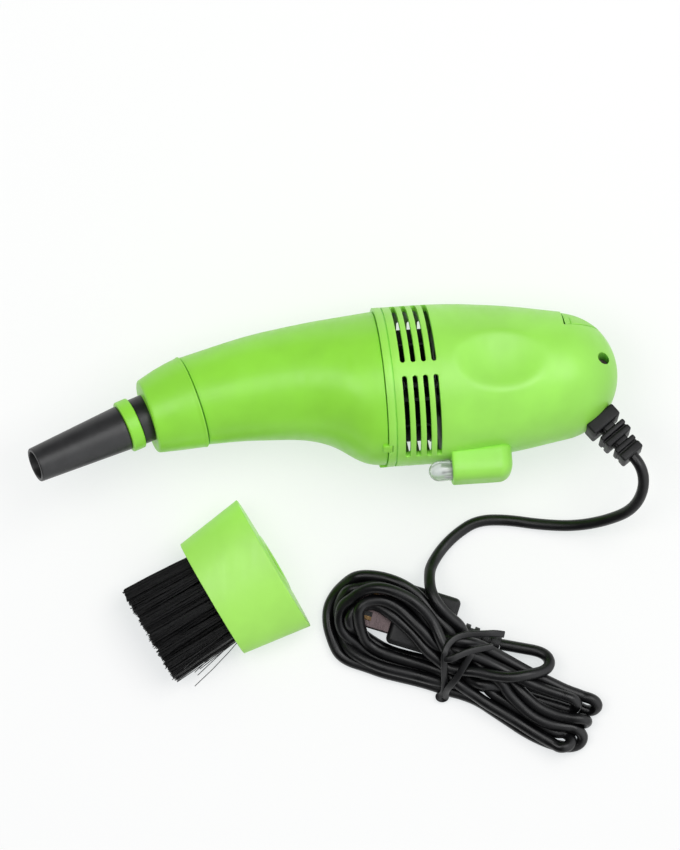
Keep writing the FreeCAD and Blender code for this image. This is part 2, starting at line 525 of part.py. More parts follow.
def motor_mount():
    """Bulkhead behind the fan with a cradle round the front of the motor."""
    disc = shaft_bar(MOUNT_R, MOUNT_X, MOUNT_X + MOUNT_THICK)
    cradle = shaft_bar(CRADLE_R, MOUNT_X, MOUNT_X + CRADLE_LENGTH)
    pocket = shaft_bar(MOTOR_R + FIT, MOTOR_FRONT, MOUNT_X + CRADLE_LENGTH + PAST)
    bearing_way = shaft_bar(BEARING_R + 0.1, MOUNT_X - PAST, MOTOR_FRONT + PAST)
    mount = disc.fuse(cradle).cut(pocket).cut(bearing_way)
    for side in (1, -1):
        start = Vector(MOUNT_X - PAST, side * MOUNT_SCREW_Y, 0)
        mount = mount.cut(cylinder(MOUNT_SCREW_R, start, start + X * (MOUNT_THICK + 2 * PAST)))
    return mount


def filter_frame():
    """Ring with a cross that stretches the filter cloth."""
    front, back = FILTER_RING
    ring = shaft_bar(FILTER_R, front, back).cut(shaft_bar(FILTER_R - FILTER_RIM, front - PAST, back + PAST))
    reach = FILTER_R - FILTER_RIM / 2
    bars = [box((back - FILTER_BAR, -reach, -FILTER_BAR_HALF), (back, reach, FILTER_BAR_HALF)),
            box((back - FILTER_BAR, -FILTER_BAR_HALF, -reach), (back, FILTER_BAR_HALF, reach))]
    return in_front_frame(joined([ring] + bars))


def filter_cloth():
    """Non-woven pouch, a tapered cap in front of the ring."""
    front, inside = X * (CLOTH_BACK - FILTER_DEPTH), X * CLOTH_THICK
    outer = taper(CLOTH_CAP_R, CLOTH_RIM_R, front, X * CLOTH_BACK)
    back = X * (CLOTH_BACK + 0.01)
    inner = taper(CLOTH_CAP_R - CLOTH_THICK, CLOTH_RIM_R - CLOTH_THICK, front + inside, back)
    return in_front_frame(outer.cut(inner))


def switch_pins(radius):
    """The switch's three pins, or with a larger radius their holes in the board."""
    return [cylinder(radius, Vector(x, PIN_Y[0], 0), Vector(x, PIN_Y[1], 0)) for x in PIN_X]


def switch_body():
    """Small slide switch under the rocker."""
    return joined([box(SWITCH_LOW, SWITCH_HIGH)] + switch_pins(PIN_R))


def circuit_board():
    """Board that carries the switch and joins the cord, motor and lamp wires."""
    return box(BOARD_LOW, BOARD_HIGH).cut(Part.makeCompound(switch_pins(PIN_HOLE_R)))


def motor_wires():
    """Two bent wires from the faces of the board to the motor terminals."""
    wires = []
    for side, board_face in ((1, BOARD_HIGH[1]), (-1, BOARD_LOW[1])):
        foot = Vector(WIRE_X, board_face + side * WIRE_GAP, side * WIRE_Z)
        elbow = Vector(WIRE_X, side * TAG_Y, side * WIRE_Z)
        tag = Vector(WIRE_X, side * TAG_Y, side * (TAG_HALF_THICK + WIRE_GAP))
        bend = Part.makeSphere(WIRE_ELBOW_R, elbow)
        wires.append(joined([cylinder(WIRE_R, foot, elbow), bend, cylinder(WIRE_R, elbow, tag)]))
    return Part.makeCompound(wires)


def rocker():
    """Rocker cut from the tail of the housing, tipped so that its front is pressed in."""
    skin = housing_body().common(rocker_well(-ROCKER_GAP))
    hollow = housing_body(ROCKER_SKIN).common(rocker_well(-ROCKER_SKIN))
    below = box((0, 0, -FAR), (FAR, ROCKER_FLOOR + ROCKER_LIFT, FAR))
    pieces = [skin.cut(hollow).cut(below)]
    for side in (1, -1):
        low, high = sorted((side * EAR_Z[0], side * EAR_Z[1]))
        ear = box((ROCKER_PIVOT.x + EAR_X[0], ROCKER_PIVOT.y + EAR_Y[0], low),
                  (ROCKER_PIVOT.x + EAR_X[1], ROCKER_PIVOT.y + EAR_Y[1], high))
        pieces.append(ear.common(housing_body(EAR_SKIN)))
        start, end = sorted((side * PIVOT_START, side * PIVOT_END))
        pieces.append(cylinder(PIVOT_R, ROCKER_PIVOT + Z * start, ROCKER_PIVOT + Z * end))
    piece = joined(pieces)
    piece.rotate(ROCKER_PIVOT, Z, ROCKER_TILT)
    return piece


def lamp_pod():
    """Lamp housing under the body: flat front, rounded keel and a rounded rear end."""
    pod = box((POD_FRONT, POD_BOTTOM, -POD_HALF), (POD_REAR, POD_ROOT, POD_HALF))
    rounded = []
    for edge in pod.Edges:
        bounds = edge.BoundBox
        at_bottom, at_rear = bounds.YMax < POD_BOTTOM + 0.01, bounds.XMin > POD_REAR - 0.01
        keel = at_bottom and bounds.XLength > POD_HALF
        if keel or (at_rear and (bounds.YLength > POD_HALF or at_bottom)):
            rounded.append(edge)
    pod = pod.makeFillet(POD_FILLET, rounded).cut(housing_body(-0.02))
    socket_end = Vector(POD_FRONT + LAMP_SEAT + LAMP_GAP, LAMP_Y, 0)
    return pod.cut(cylinder(LAMP_R + LAMP_GAP, Vector(POD_FRONT - PAST, LAMP_Y, 0), socket_end))


def lamp():
    """Clear 5 mm lamp: straight barrel and a domed front."""
    front = Vector(POD_FRONT - LAMP_LENGTH + LAMP_R, LAMP_Y, 0)
    barrel = cylinder(LAMP_R, front, Vector(POD_FRONT + LAMP_SEAT, LAMP_Y, 0))
    return joined([barrel, Part.makeSphere(LAMP_R, front)])


def housing_screw():
    """Pan-head screw that holds the two halves at the tail."""
    x, y = SCREW_AT
    top = SCREW_SEAT_Z + SCREW_HEAD_HEIGHT
    head = cylinder(SCREW_HEAD_R, Vector(x, y, SCREW_SEAT_Z), Vector(x, y, top))
    shank = cylinder(SCREW_SHANK_R, Vector(x, y, SCREW_END_Z), Vector(x, y, SCREW_SEAT_Z + 0.2))
    screw = joined([head, shank])
    long, narrow = SCREW_SHANK_R, SCREW_CROSS_WIDTH / 2
    for half_x, half_y in ((long, narrow), (narrow, long)):
        screw = screw.cut(box((x - half_x, y - half_y, top - SCREW_CROSS_DEPTH),
                              (x + half_x, y + half_y, top + PAST)))
    return screw


# ---- cord ----------------------------------------------------------------------------------
def relief_bar(start, length, half_width, half_height):
    """Round-edged bar of the strain relief, in the relief's own frame."""
    radius = min(half_width, half_height) * RELIEF_ROUND
    return rounded_bar((start, -half_width, -half_height), (start + length, half_width, half_height), radius)


def strain_relief():
    """Moulded relief that bends: blocks on narrow bridges, slit from above and below in between."""
    relief = joined([relief_bar(*sizes) for sizes in RELIEF_BLOCKS + RELIEF_BRIDGES])
    half_slit = RELIEF_SLIT_WIDTH / 2
    for x in RELIEF_SLITS:
        for low, high in ((RELIEF_SLIT_ROOT, FAR), (-FAR, -RELIEF_SLIT_ROOT)):
            relief = relief.cut(box((x - half_slit, -FAR, low), (x + half_slit, FAR, high)))
    relief = joined([relief, shaft_bar(RELIEF_NECK_R, -RELIEF_NECK, PAST)])
    relief.Placement = Placement(RELIEF_AT, Rotation(X, relief_direction()))
    return relief.cut(housing_body(-0.02).common(box((0, -FAR, -FAR), (FAR, FAR, FAR))).cut(relief_hole()))


def relief_end():
    """End of the strain relief and its direction, in the table's frame."""
    end = LAY_VACUUM.multVec(RELIEF_AT + relief_direction() * RELIEF_LENGTH)
    return end, LAY_VACUUM.Rotation.multVec(relief_direction())


def cord_route():
    """Corners of the uncoiled cord, from the strain relief to the hank."""
    end, direction = relief_end()
    return [end, end + direction * CORD_EXIT] + [Vector(*point) for point in CORD_ROUTE]


def rounded_path(points, label):
    """Straight runs joined by tangent arcs, each as large as its two runs allow."""
    edges = []
    radii = []
    last = points[0]
    for before, corner, after in zip(points, points[1:], points[2:]):
        arrive, leave = (corner - before), (after - corner)
        shorter = min(arrive.Length, leave.Length)
        arrive.normalize()
        leave.normalize()
        turn = arrive.getAngle(leave)
        setback = CORNER_SHARE * shorter
        radius = setback / math.tan(turn / 2)
        start, end = corner - arrive * setback, corner + leave * setback
        inward = (leave - arrive).normalize()
        middle = corner + inward * (radius / math.cos(turn / 2) - radius)
        edges.append(Part.LineSegment(last, start).toShape())
        edges.append(Part.Arc(start, middle, end).toShape())
        radii.append(round(radius, 1))
        last = end
    edges.append(Part.LineSegment(last, points[-1]).toShape())
    print(label, "radii", radii)
    return Part.Wire(edges)


def tube(path, diameter, label):
    """Round tube along a path, with its volume compared with section times length."""
    start = path.Edges[0].valueAt(path.Edges[0].FirstParameter)
    heading = path.Edges[0].tangentAt(path.Edges[0].FirstParameter)
    ring = Part.Wire(Part.Circle(start, heading, diameter / 2).toShape())
    solid = path.makePipeShell([ring], True, False)
    expected = math.pi * diameter ** 2 / 4 * path.Length
    print(label, "length", round(path.Length, 1), "volume ratio", round(solid.Volume / expected, 4))
    return solid


def inset_points(points, amount):
    """Move each corner of an outline inwards, square to the line between its neighbours."""
    moved = []
    for before, here, after in zip(points[-1:] + points[:-1], points, points[1:] + points[:1]):
        along = Vector(after[0] - before[0], after[1] - before[1], 0).normalize()
        moved.append((here[0] + along.y * amount, here[1] - along.x * amount))
    return moved


def rounded_pad(points, height):
    """Low pad with a rounded outline, drawn in at the floor and at the top."""
    levels = [(0.0, HANK_FOOT), (HANK_EDGE, 0.0), (height - HANK_EDGE, 0.0), (height, HANK_EDGE)]
    wires = []
    for level, inset in levels:
        outline = [Vector(x, y, level) for x, y in inset_points(points, inset)]
        corners = closed_curve(outline).discretize(PAD_SIDES + 1)
        wires.append(Part.makePolygon(corners[:-1] + corners[:1]))
    return loft(wires)


def cord_hank(pocket, tie):
    """Outer shape of the tied hank: two lobes, a waist and the strands over the plug."""
    pad = rounded_pad(HANK_OUTLINE, HANK_HEIGHT)
    bridge = rounded_pad(BRIDGE_OUTLINE, BRIDGE_HEIGHT)
    return pad.fuse(bridge).cut(pocket).cut(tie)


def tie_ring(start, length, inset):
    """Rounded bar across the hank, as large as the tie less an inset."""
    half_width, half_height = TIE_HALF_WIDTH - inset, TIE_HALF_HEIGHT - inset
    return rounded_bar((start, -half_width, -half_height), (start + length, half_width, half_height),
                       TIE_CORNER_R - inset)


def twist_tie():
    """Two turns of a tie round the waist of the hank, with a knot and two free ends."""
    turns = []
    for x in TIE_TURNS:
        turns.append(tie_ring(x, TIE_WIDTH, 0).cut(tie_ring(x - PAST, TIE_WIDTH + 2 * PAST, TIE_THICK)))
    top = Z * TIE_HALF_HEIGHT
    knot = cylinder(KNOT_R, Vector(*KNOT_START, KNOT_LIFT) + top, Vector(*KNOT_END, KNOT_LIFT) + top)
    tails = [cylinder(TAIL_R, Vector(*start) + top, Vector(*end) + top) for start, end in TIE_TAILS]
    tie = joined(turns + [knot] + tails)
    tie.Placement = Placement(TIE_AT, Rotation(TIE_YAW, 0, 0))
    return tie


# ---- plug ----------------------------------------------------------------------------------
def grip_block(grow=0.0):
    """Outer form of the moulded grip."""
    half = [size / 2 + grow for size in (GRIP_LENGTH, GRIP_WIDTH, GRIP_HEIGHT)]
    return rounded_bar([-value for value in half], half, GRIP_ROUND)


def plug_grip():
    """Moulded grip with rounded edges and a socket for the metal shell."""
    return grip_block().cut(shell_envelope(0.0))


def plug_pocket(gap):
    """Room for the whole plug in the hank, lying on the table."""
    relief_way = shaft_bar(PLUG_RELIEF_R + gap, 0, GRIP_LENGTH / 2 + PLUG_RELIEF_LENGTH + gap)
    pocket = shell_envelope(gap).multiFuse([grip_block(gap), relief_way])
    pocket.Placement = LAY_PLUG
    return pocket


def shell_envelope(grow):
    """Outside of the metal shell."""
    half_width, half_height = SHELL_WIDTH / 2 + grow, SHELL_HEIGHT / 2 + grow
    low = (SHELL_FRONT - grow, -half_width, -half_height)
    return rounded_bar(low, (SHELL_BACK + grow, half_width, half_height), SHELL_ROUND)


def plug_shell():
    """Folded metal shell, open in front, with two square windows on each face."""
    half_width, half_height = SHELL_WIDTH / 2 - SHELL_WALL, SHELL_HEIGHT / 2 - SHELL_WALL
    shell = shell_envelope(0.0).cut(box((SHELL_FRONT - PAST, -half_width, -half_height),
                                        (SHELL_BACK + PAST, half_width, half_height)))
    start = SHELL_FRONT + WINDOW_X
    for y in (WINDOW_Y, -WINDOW_Y):
        shell = shell.cut(box((start, y - WINDOW_SIZE / 2, -SHELL_HEIGHT),
                              (start + WINDOW_SIZE, y + WINDOW_SIZE / 2, SHELL_HEIGHT)))
    return shell


def plug_tongue():
    """Plastic tongue inside the shell that carries the contacts."""
    return box((SHELL_FRONT + TONGUE_FRONT, -TONGUE_HALF, TONGUE_Z[0]),
               (SHELL_BACK - TONGUE_BACK_GAP, TONGUE_HALF, TONGUE_Z[1]))


def plug_contacts():
    """Four contact strips on the tongue."""
    start, end = SHELL_FRONT + CONTACT_FRONT, SHELL_FRONT + SHELL_LENGTH
    strips = []
    for y in CONTACT_Y:
        strips.append(box((start, y - CONTACT_HALF, TONGUE_Z[1]), (end, y + CONTACT_HALF, CONTACT_TOP)))
    return Part.makeCompound(strips)


def plug_relief():
    """Tapered ribbed relief behind the grip."""
    start = GRIP_LENGTH / 2
    ribs = []
    for number in range(PLUG_RIBS):
        x = start + PLUG_RIB_FIRST + number * PLUG_RIB_PITCH
        ribs.append(shaft_bar(PLUG_RELIEF_R - number * PLUG_RIB_STEP, x, x + PLUG_RIB_WIDTH))
    return joined([shaft_bar(PLUG_RELIEF_CORE_R, start, start + PLUG_RELIEF_LENGTH)] + ribs)


# ---- brush --------------------------------------------------------------------------------
def brush_cone(inset, start, end):
    """Oval cone of the brush head between two depths."""
    wires = []
    for depth in (start, end):
        share = depth / BRUSH_DEPTH
        half_a, half_b = [front + (back - front) * share - inset
                          for front, back in zip(BRUSH_FRONT_AXES, BRUSH_BACK_AXES)]
        wires.append(oval_wire(X * depth, Y * half_a, Z * half_b))
    return loft(wires)


def brush_housing():
    """Oval head, open in front, with a round socket through its back."""
    inner = brush_cone(BRUSH_WALL, -PAST, BRUSH_DEPTH - BRUSH_BACK_WALL)
    head = brush_cone(0.0, 0.0, BRUSH_DEPTH).cut(inner)
    ledge_at = PLATE_AT + PLATE_THICK
    ledge = brush_cone(BRUSH_WALL - LEDGE_OUT, ledge_at, ledge_at + LEDGE_DEPTH)
    ledge = ledge.cut(brush_cone(BRUSH_WALL + LEDGE_IN, ledge_at - PAST, ledge_at + LEDGE_DEPTH + PAST))
    top = BRUSH_DEPTH + SOCKET_PROUD
    boss = shaft_bar(SOCKET_BOSS_R, BRUSH_DEPTH - BRUSH_BACK_WALL, top)
    socket_tube = shaft_bar(SOCKET_R + SOCKET_WALL, top - SOCKET_LENGTH, BRUSH_DEPTH)
    bore = shaft_bar(SOCKET_R, top - SOCKET_LENGTH - PAST, top + PAST)
    return joined([head, ledge, boss, socket_tube]).cut(bore)


def tuft_line(number, depth):
    """Point on a tuft's line at a depth, spreading towards the tips."""
    angle = 2 * math.pi * (number + 0.5) / TUFTS
    share = (PLATE_AT - depth) / TUFT_LENGTH
    spread = 1 + (TUFT_SPREAD - 1) * share
    return Vector(depth, TUFT_RING[0] * math.cos(angle) * spread, TUFT_RING[1] * math.sin(angle))


def brush_plate():
    """Oval plate with a suction slot and blind holes for the tufts."""
    plate = brush_cone(BRUSH_WALL + PLATE_GAP, PLATE_AT, PLATE_AT + PLATE_THICK)
    slot_end = (PLATE_AT + PLATE_THICK + PAST, SLOT_HALF_LENGTH, SLOT_HALF_WIDTH)
    slot = rounded_bar((PLATE_AT - PAST, -SLOT_HALF_LENGTH, -SLOT_HALF_WIDTH), slot_end, SLOT_HALF_WIDTH - 0.1)
    return plate.cut(slot).cut(brush_tufts())


def brush_tufts():
    """Nylon tufts, each a straight six-sided bundle, leaning outwards."""
    tufts = []
    for number in range(TUFTS):
        root = tuft_line(number, PLATE_AT + TUFT_SEAT)
        tip = tuft_line(number, PLATE_AT + TUFT_SEAT - TUFT_LENGTH)
        bundle = Part.Face(oval_wire(root, Y * TUFT_R, Z * TUFT_R, TUFT_SIDES))
        tufts.append(bundle.extrude(tip - root))
    return Part.makeCompound(tufts)


# ---- export -------------------------------------------------------------------------------
def write(shape, name, frame=None):
    """Place a shape on the table, write it to its own file and print what it is."""
    placed = shape.copy()
    if frame:
        placed.Placement = frame.multiply(placed.Placement)
    placed.exportStep("parts/" + name + ".step")
    bounds = placed.optimalBoundingBox(False)
    print(f"{name:16s} valid {placed.isValid()} solids {len(placed.Solids)} vol {placed.Volume:9.1f}",
          f"x {bounds.XMin:7.2f} {bounds.XMax:7.2f} y {bounds.YMin:7.2f} {bounds.YMax:7.2f}",
          f"z {bounds.ZMin:6.2f} {bounds.ZMax:6.2f}")


def main():
    """Build every piece in its own frame and write it where it lies on the table."""
    os.makedirs("parts", exist_ok=True)
    left, right = halves(housing_shell())
    vacuum = {
        "housing_left": left, "housing_right": right, "dust_cup": dust_cup(), "nose_cone": nose_cone(),
        "nose_spigot": nose_spigot(), "nozzle_collar": nozzle_collar(), "rubber_nozzle": rubber_nozzle(),
        "fan_inlet_plate": fan_inlet_plate(), "impeller": impeller(), "motor_shaft": motor_shaft(),
        "motor_can": motor_can(), "motor_end_cap": motor_end_cap(), "motor_mount": motor_mount(),
        "filter_frame": filter_frame(), "filter_cloth": filter_cloth(), "switch_body": switch_body(),
        "circuit_board": circuit_board(), "motor_wires": motor_wires(), "switch_rocker": rocker(),
        "lamp_pod": lamp_pod(), "lamp_led": lamp(), "housing_screw": housing_screw(),
        "strain_relief": strain_relief()}
    plug = {"plug_grip": plug_grip(), "plug_shell": plug_shell(), "plug_tongue": plug_tongue(),
            "plug_contacts": plug_contacts(), "plug_relief": plug_relief()}
    brush = {"brush_housing": brush_housing(), "brush_plate": brush_plate(), "brush_tufts": brush_tufts()}
    for pieces, frame in ((vacuum, LAY_VACUUM), (plug, LAY_PLUG), (brush, LAY_BRUSH)):
        for name, shape in pieces.items():
            write(shape, name, frame)
    pocket = plug_pocket(HANK_GAP)
    tie = twist_tie().cut(pocket)
    write(cord_hank(pocket, tie), "cord_hank")
    write(tie, "twist_tie")
    route = cord_route()
    write(tube(rounded_path(route, "cord"), CORD_D, "cord"), "cord_lead")
    print("cord starts at", route[:2])


main()
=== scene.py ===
"""Desktop mini vacuum cleaner with its oval brush head and tied USB cord.

Shapes are worked out in millimetres, in the same frames as the CAD source: the
vacuum's x runs along the motor shaft to the tail, y points to the switch and z to
the left side; the brush head's x runs from the bristles to the socket; the plug's
x runs from the metal shell to the cord.  A Lie turns such a frame into metres on
the table.
"""
import math

import bmesh
import bpy
import numpy as np
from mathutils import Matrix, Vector


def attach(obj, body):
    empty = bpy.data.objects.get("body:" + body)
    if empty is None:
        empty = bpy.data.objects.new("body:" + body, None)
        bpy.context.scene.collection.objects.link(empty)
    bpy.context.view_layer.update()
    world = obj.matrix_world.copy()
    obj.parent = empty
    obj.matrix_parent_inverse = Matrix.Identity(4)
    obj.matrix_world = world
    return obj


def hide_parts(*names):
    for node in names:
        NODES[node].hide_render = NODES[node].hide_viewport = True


bl_info = {
    "name": "Desktop mini vacuum cleaner",
    "version": (1, 0, 0),
    "blender": (4, 5, 0),
    "location": "View3D > Sidebar > Vacuum",
    "description": "Green hand vacuum with an oval brush head and a tied cord",
    "category": "Add Mesh",
}

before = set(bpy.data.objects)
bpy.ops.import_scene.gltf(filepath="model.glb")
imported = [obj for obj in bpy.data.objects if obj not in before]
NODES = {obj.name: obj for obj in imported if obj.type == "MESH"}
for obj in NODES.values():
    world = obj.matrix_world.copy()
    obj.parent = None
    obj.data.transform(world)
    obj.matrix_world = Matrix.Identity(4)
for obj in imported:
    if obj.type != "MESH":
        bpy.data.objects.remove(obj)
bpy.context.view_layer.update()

MM = 0.001
X, Z = np.eye(3)[[0, 2]]

# ---- the vacuum's own sizes, as in the CAD source ------------------------------------
HOUSING_KNOTS = np.array([(-4.0, 20.9), (4.0, 20.9), (10.0, 20.88), (16.0, 20.68), (24.0, 19.97),
                          (34.0, 18.72), (40.0, 17.7), (45.52, 16.75)])
TAIL_X, TAIL_BALL_R = 59.6, 17.0
RIM_FRONT, RIM_NOTCH, JOINT_X, JOINT_DROOP = -3.1, -2.05, -1.0, 1.7
SLOT_CENTRES = 1.9 + 2.75 * np.arange(4)
SLOT_ENDS = ((-78.5, -8.4), (1.2, 76.0))
LUG_ANGLE, LUG_HALF = 23.0, 4.0
DISH_X, DISH_Y, DISH_R = 31.3, 0.9, 29.2
WELL_X, WELL_FLOOR, ROCKER_X, ROCKER_FLOOR = 45.5, 10.15, 46.1, 10.55
WELL_END = TAIL_X - TAIL_BALL_R + math.sqrt(TAIL_BALL_R ** 2 - WELL_FLOOR ** 2)
ROCKER_PIVOT, ROCKER_TILT = np.array((51.4, 8.0, 0.0)), 3.0
SCREW_AT, SCREW_HOLE_R, SCREW_SEAT = (55.3, 0.8), 1.6, 3.2
CUP_SECTIONS = np.array([(-3.86, 19.95, -2.66, -20.35, 20.15), (-9.5, 19.35, -7.6, -19.6, 19.8),
                         (-15.0, 18.8, -12.2, -16.9, 19.0), (-20.5, 18.2, -16.6, -14.2, 17.9),
                         (-28.0, 17.2, -23.5, -12.3, 16.3), (-36.5, 15.8, -31.5, -11.8, 14.8),
                         (-45.0, 13.8, -39.5, -11.6, 13.4), (-55.2, 11.1, -48.7, -11.9, 12.0)])
NOSE_SECTIONS = np.array([(-55.5, 11.35, -48.9, -12.45, 12.35), (-61.2, 8.75, -55.6, -12.95, 11.25),
                          (-66.6, 5.6, -62.0, -13.3, 9.65)])
AXIS_START = np.array((-64.2, -3.9, 0.0))
AXIS_DROOP = math.radians(19.8)
AXIS = np.array((-math.cos(AXIS_DROOP), -math.sin(AXIS_DROOP), 0.0))
STEP_LENGTH, COLLAR_WIDTH, NOZZLE_LENGTH, MOUTH_BEVEL = 3.4, 3.5, 25.4, 6.0
POD_FRONT, POD_REAR, POD_BOTTOM, POD_HALF, POD_ROUND = 13.95, 29.9, -27.2, 5.3, 3.6
POD_WAIST, POD_POWER = -20.6, 3.6
LAMP_Y, LAMP_R, LAMP_HOLE_R, LAMP_PROUD = -23.75, 2.65, 2.78, 6.0
RELIEF_AT, RELIEF_DROP = np.array((53.4, -12.1, 0.0)), math.radians(53.0)
# start, length, half width and half height of each block: five blocks, two bridges and the webs in the slits
RELIEF_BLOCKS = [(0.0, 3.6, 4.5, 4.2), (3.4, 1.7, 1.6, 3.4), (4.9, 1.35, 4.0, 3.8), (6.1, 0.8, 3.9, 2.1),
                 (6.75, 1.75, 4.0, 3.8), (8.3, 1.6, 1.8, 2.9), (9.7, 1.45, 3.3, 3.2), (11.0, 0.8, 3.2, 2.1),
                 (11.65, 2.35, 3.3, 3.2)]
RELIEF_CORE = [(-2.0, 0.0), (-2.0, 2.3), (13.9, 2.1), (14.0, 0.0)]
GRIP_LENGTH, GRIP_WIDTH, GRIP_HEIGHT, PLUG_RELIEF_LENGTH = 16.2, 16.6, 7.8, 13.0
RIBS, RIB_STEP, RIB_WIDTH, RIB_FLOOR, RIB_R, RIB_TAPER = 5, 2.5, 1.35, 1.95, 3.05, 0.22
BRUSH_DEPTH, BRUSH_FRONT, BRUSH_BACK = 18.8, np.array((16.6, 8.5)), np.array((19.2, 9.35))
SOCKET_R, SOCKET_PROUD, SOCKET_LENGTH, BOSS_R = 5.3, 0.45, 6.75, 8.5
BRUSH_WALL, BRUSH_BACK_WALL = 1.5, 1.8

# ---- the cord: its route to the hank and the turns of the hank, as it lies ------------
CORD_ROUTE = [(78.0732, 9.7323, 23.2516), (80.4054, 7.1877, 23.8310), (81.0, 1.2, 20.4), (78.1, -4.2, 15.0),
              (71.6, -7.0, 9.4), (63.2, -8.6, 4.6), (53.8, -8.2, 1.9), (45.0, -6.9, 1.55), (37.4, -7.1, 1.6),
              (32.2, -10.4, 1.55), (28.1, -14.4, 1.9)]
TIE_AT = np.array((34.0, -42.6, 0.0))
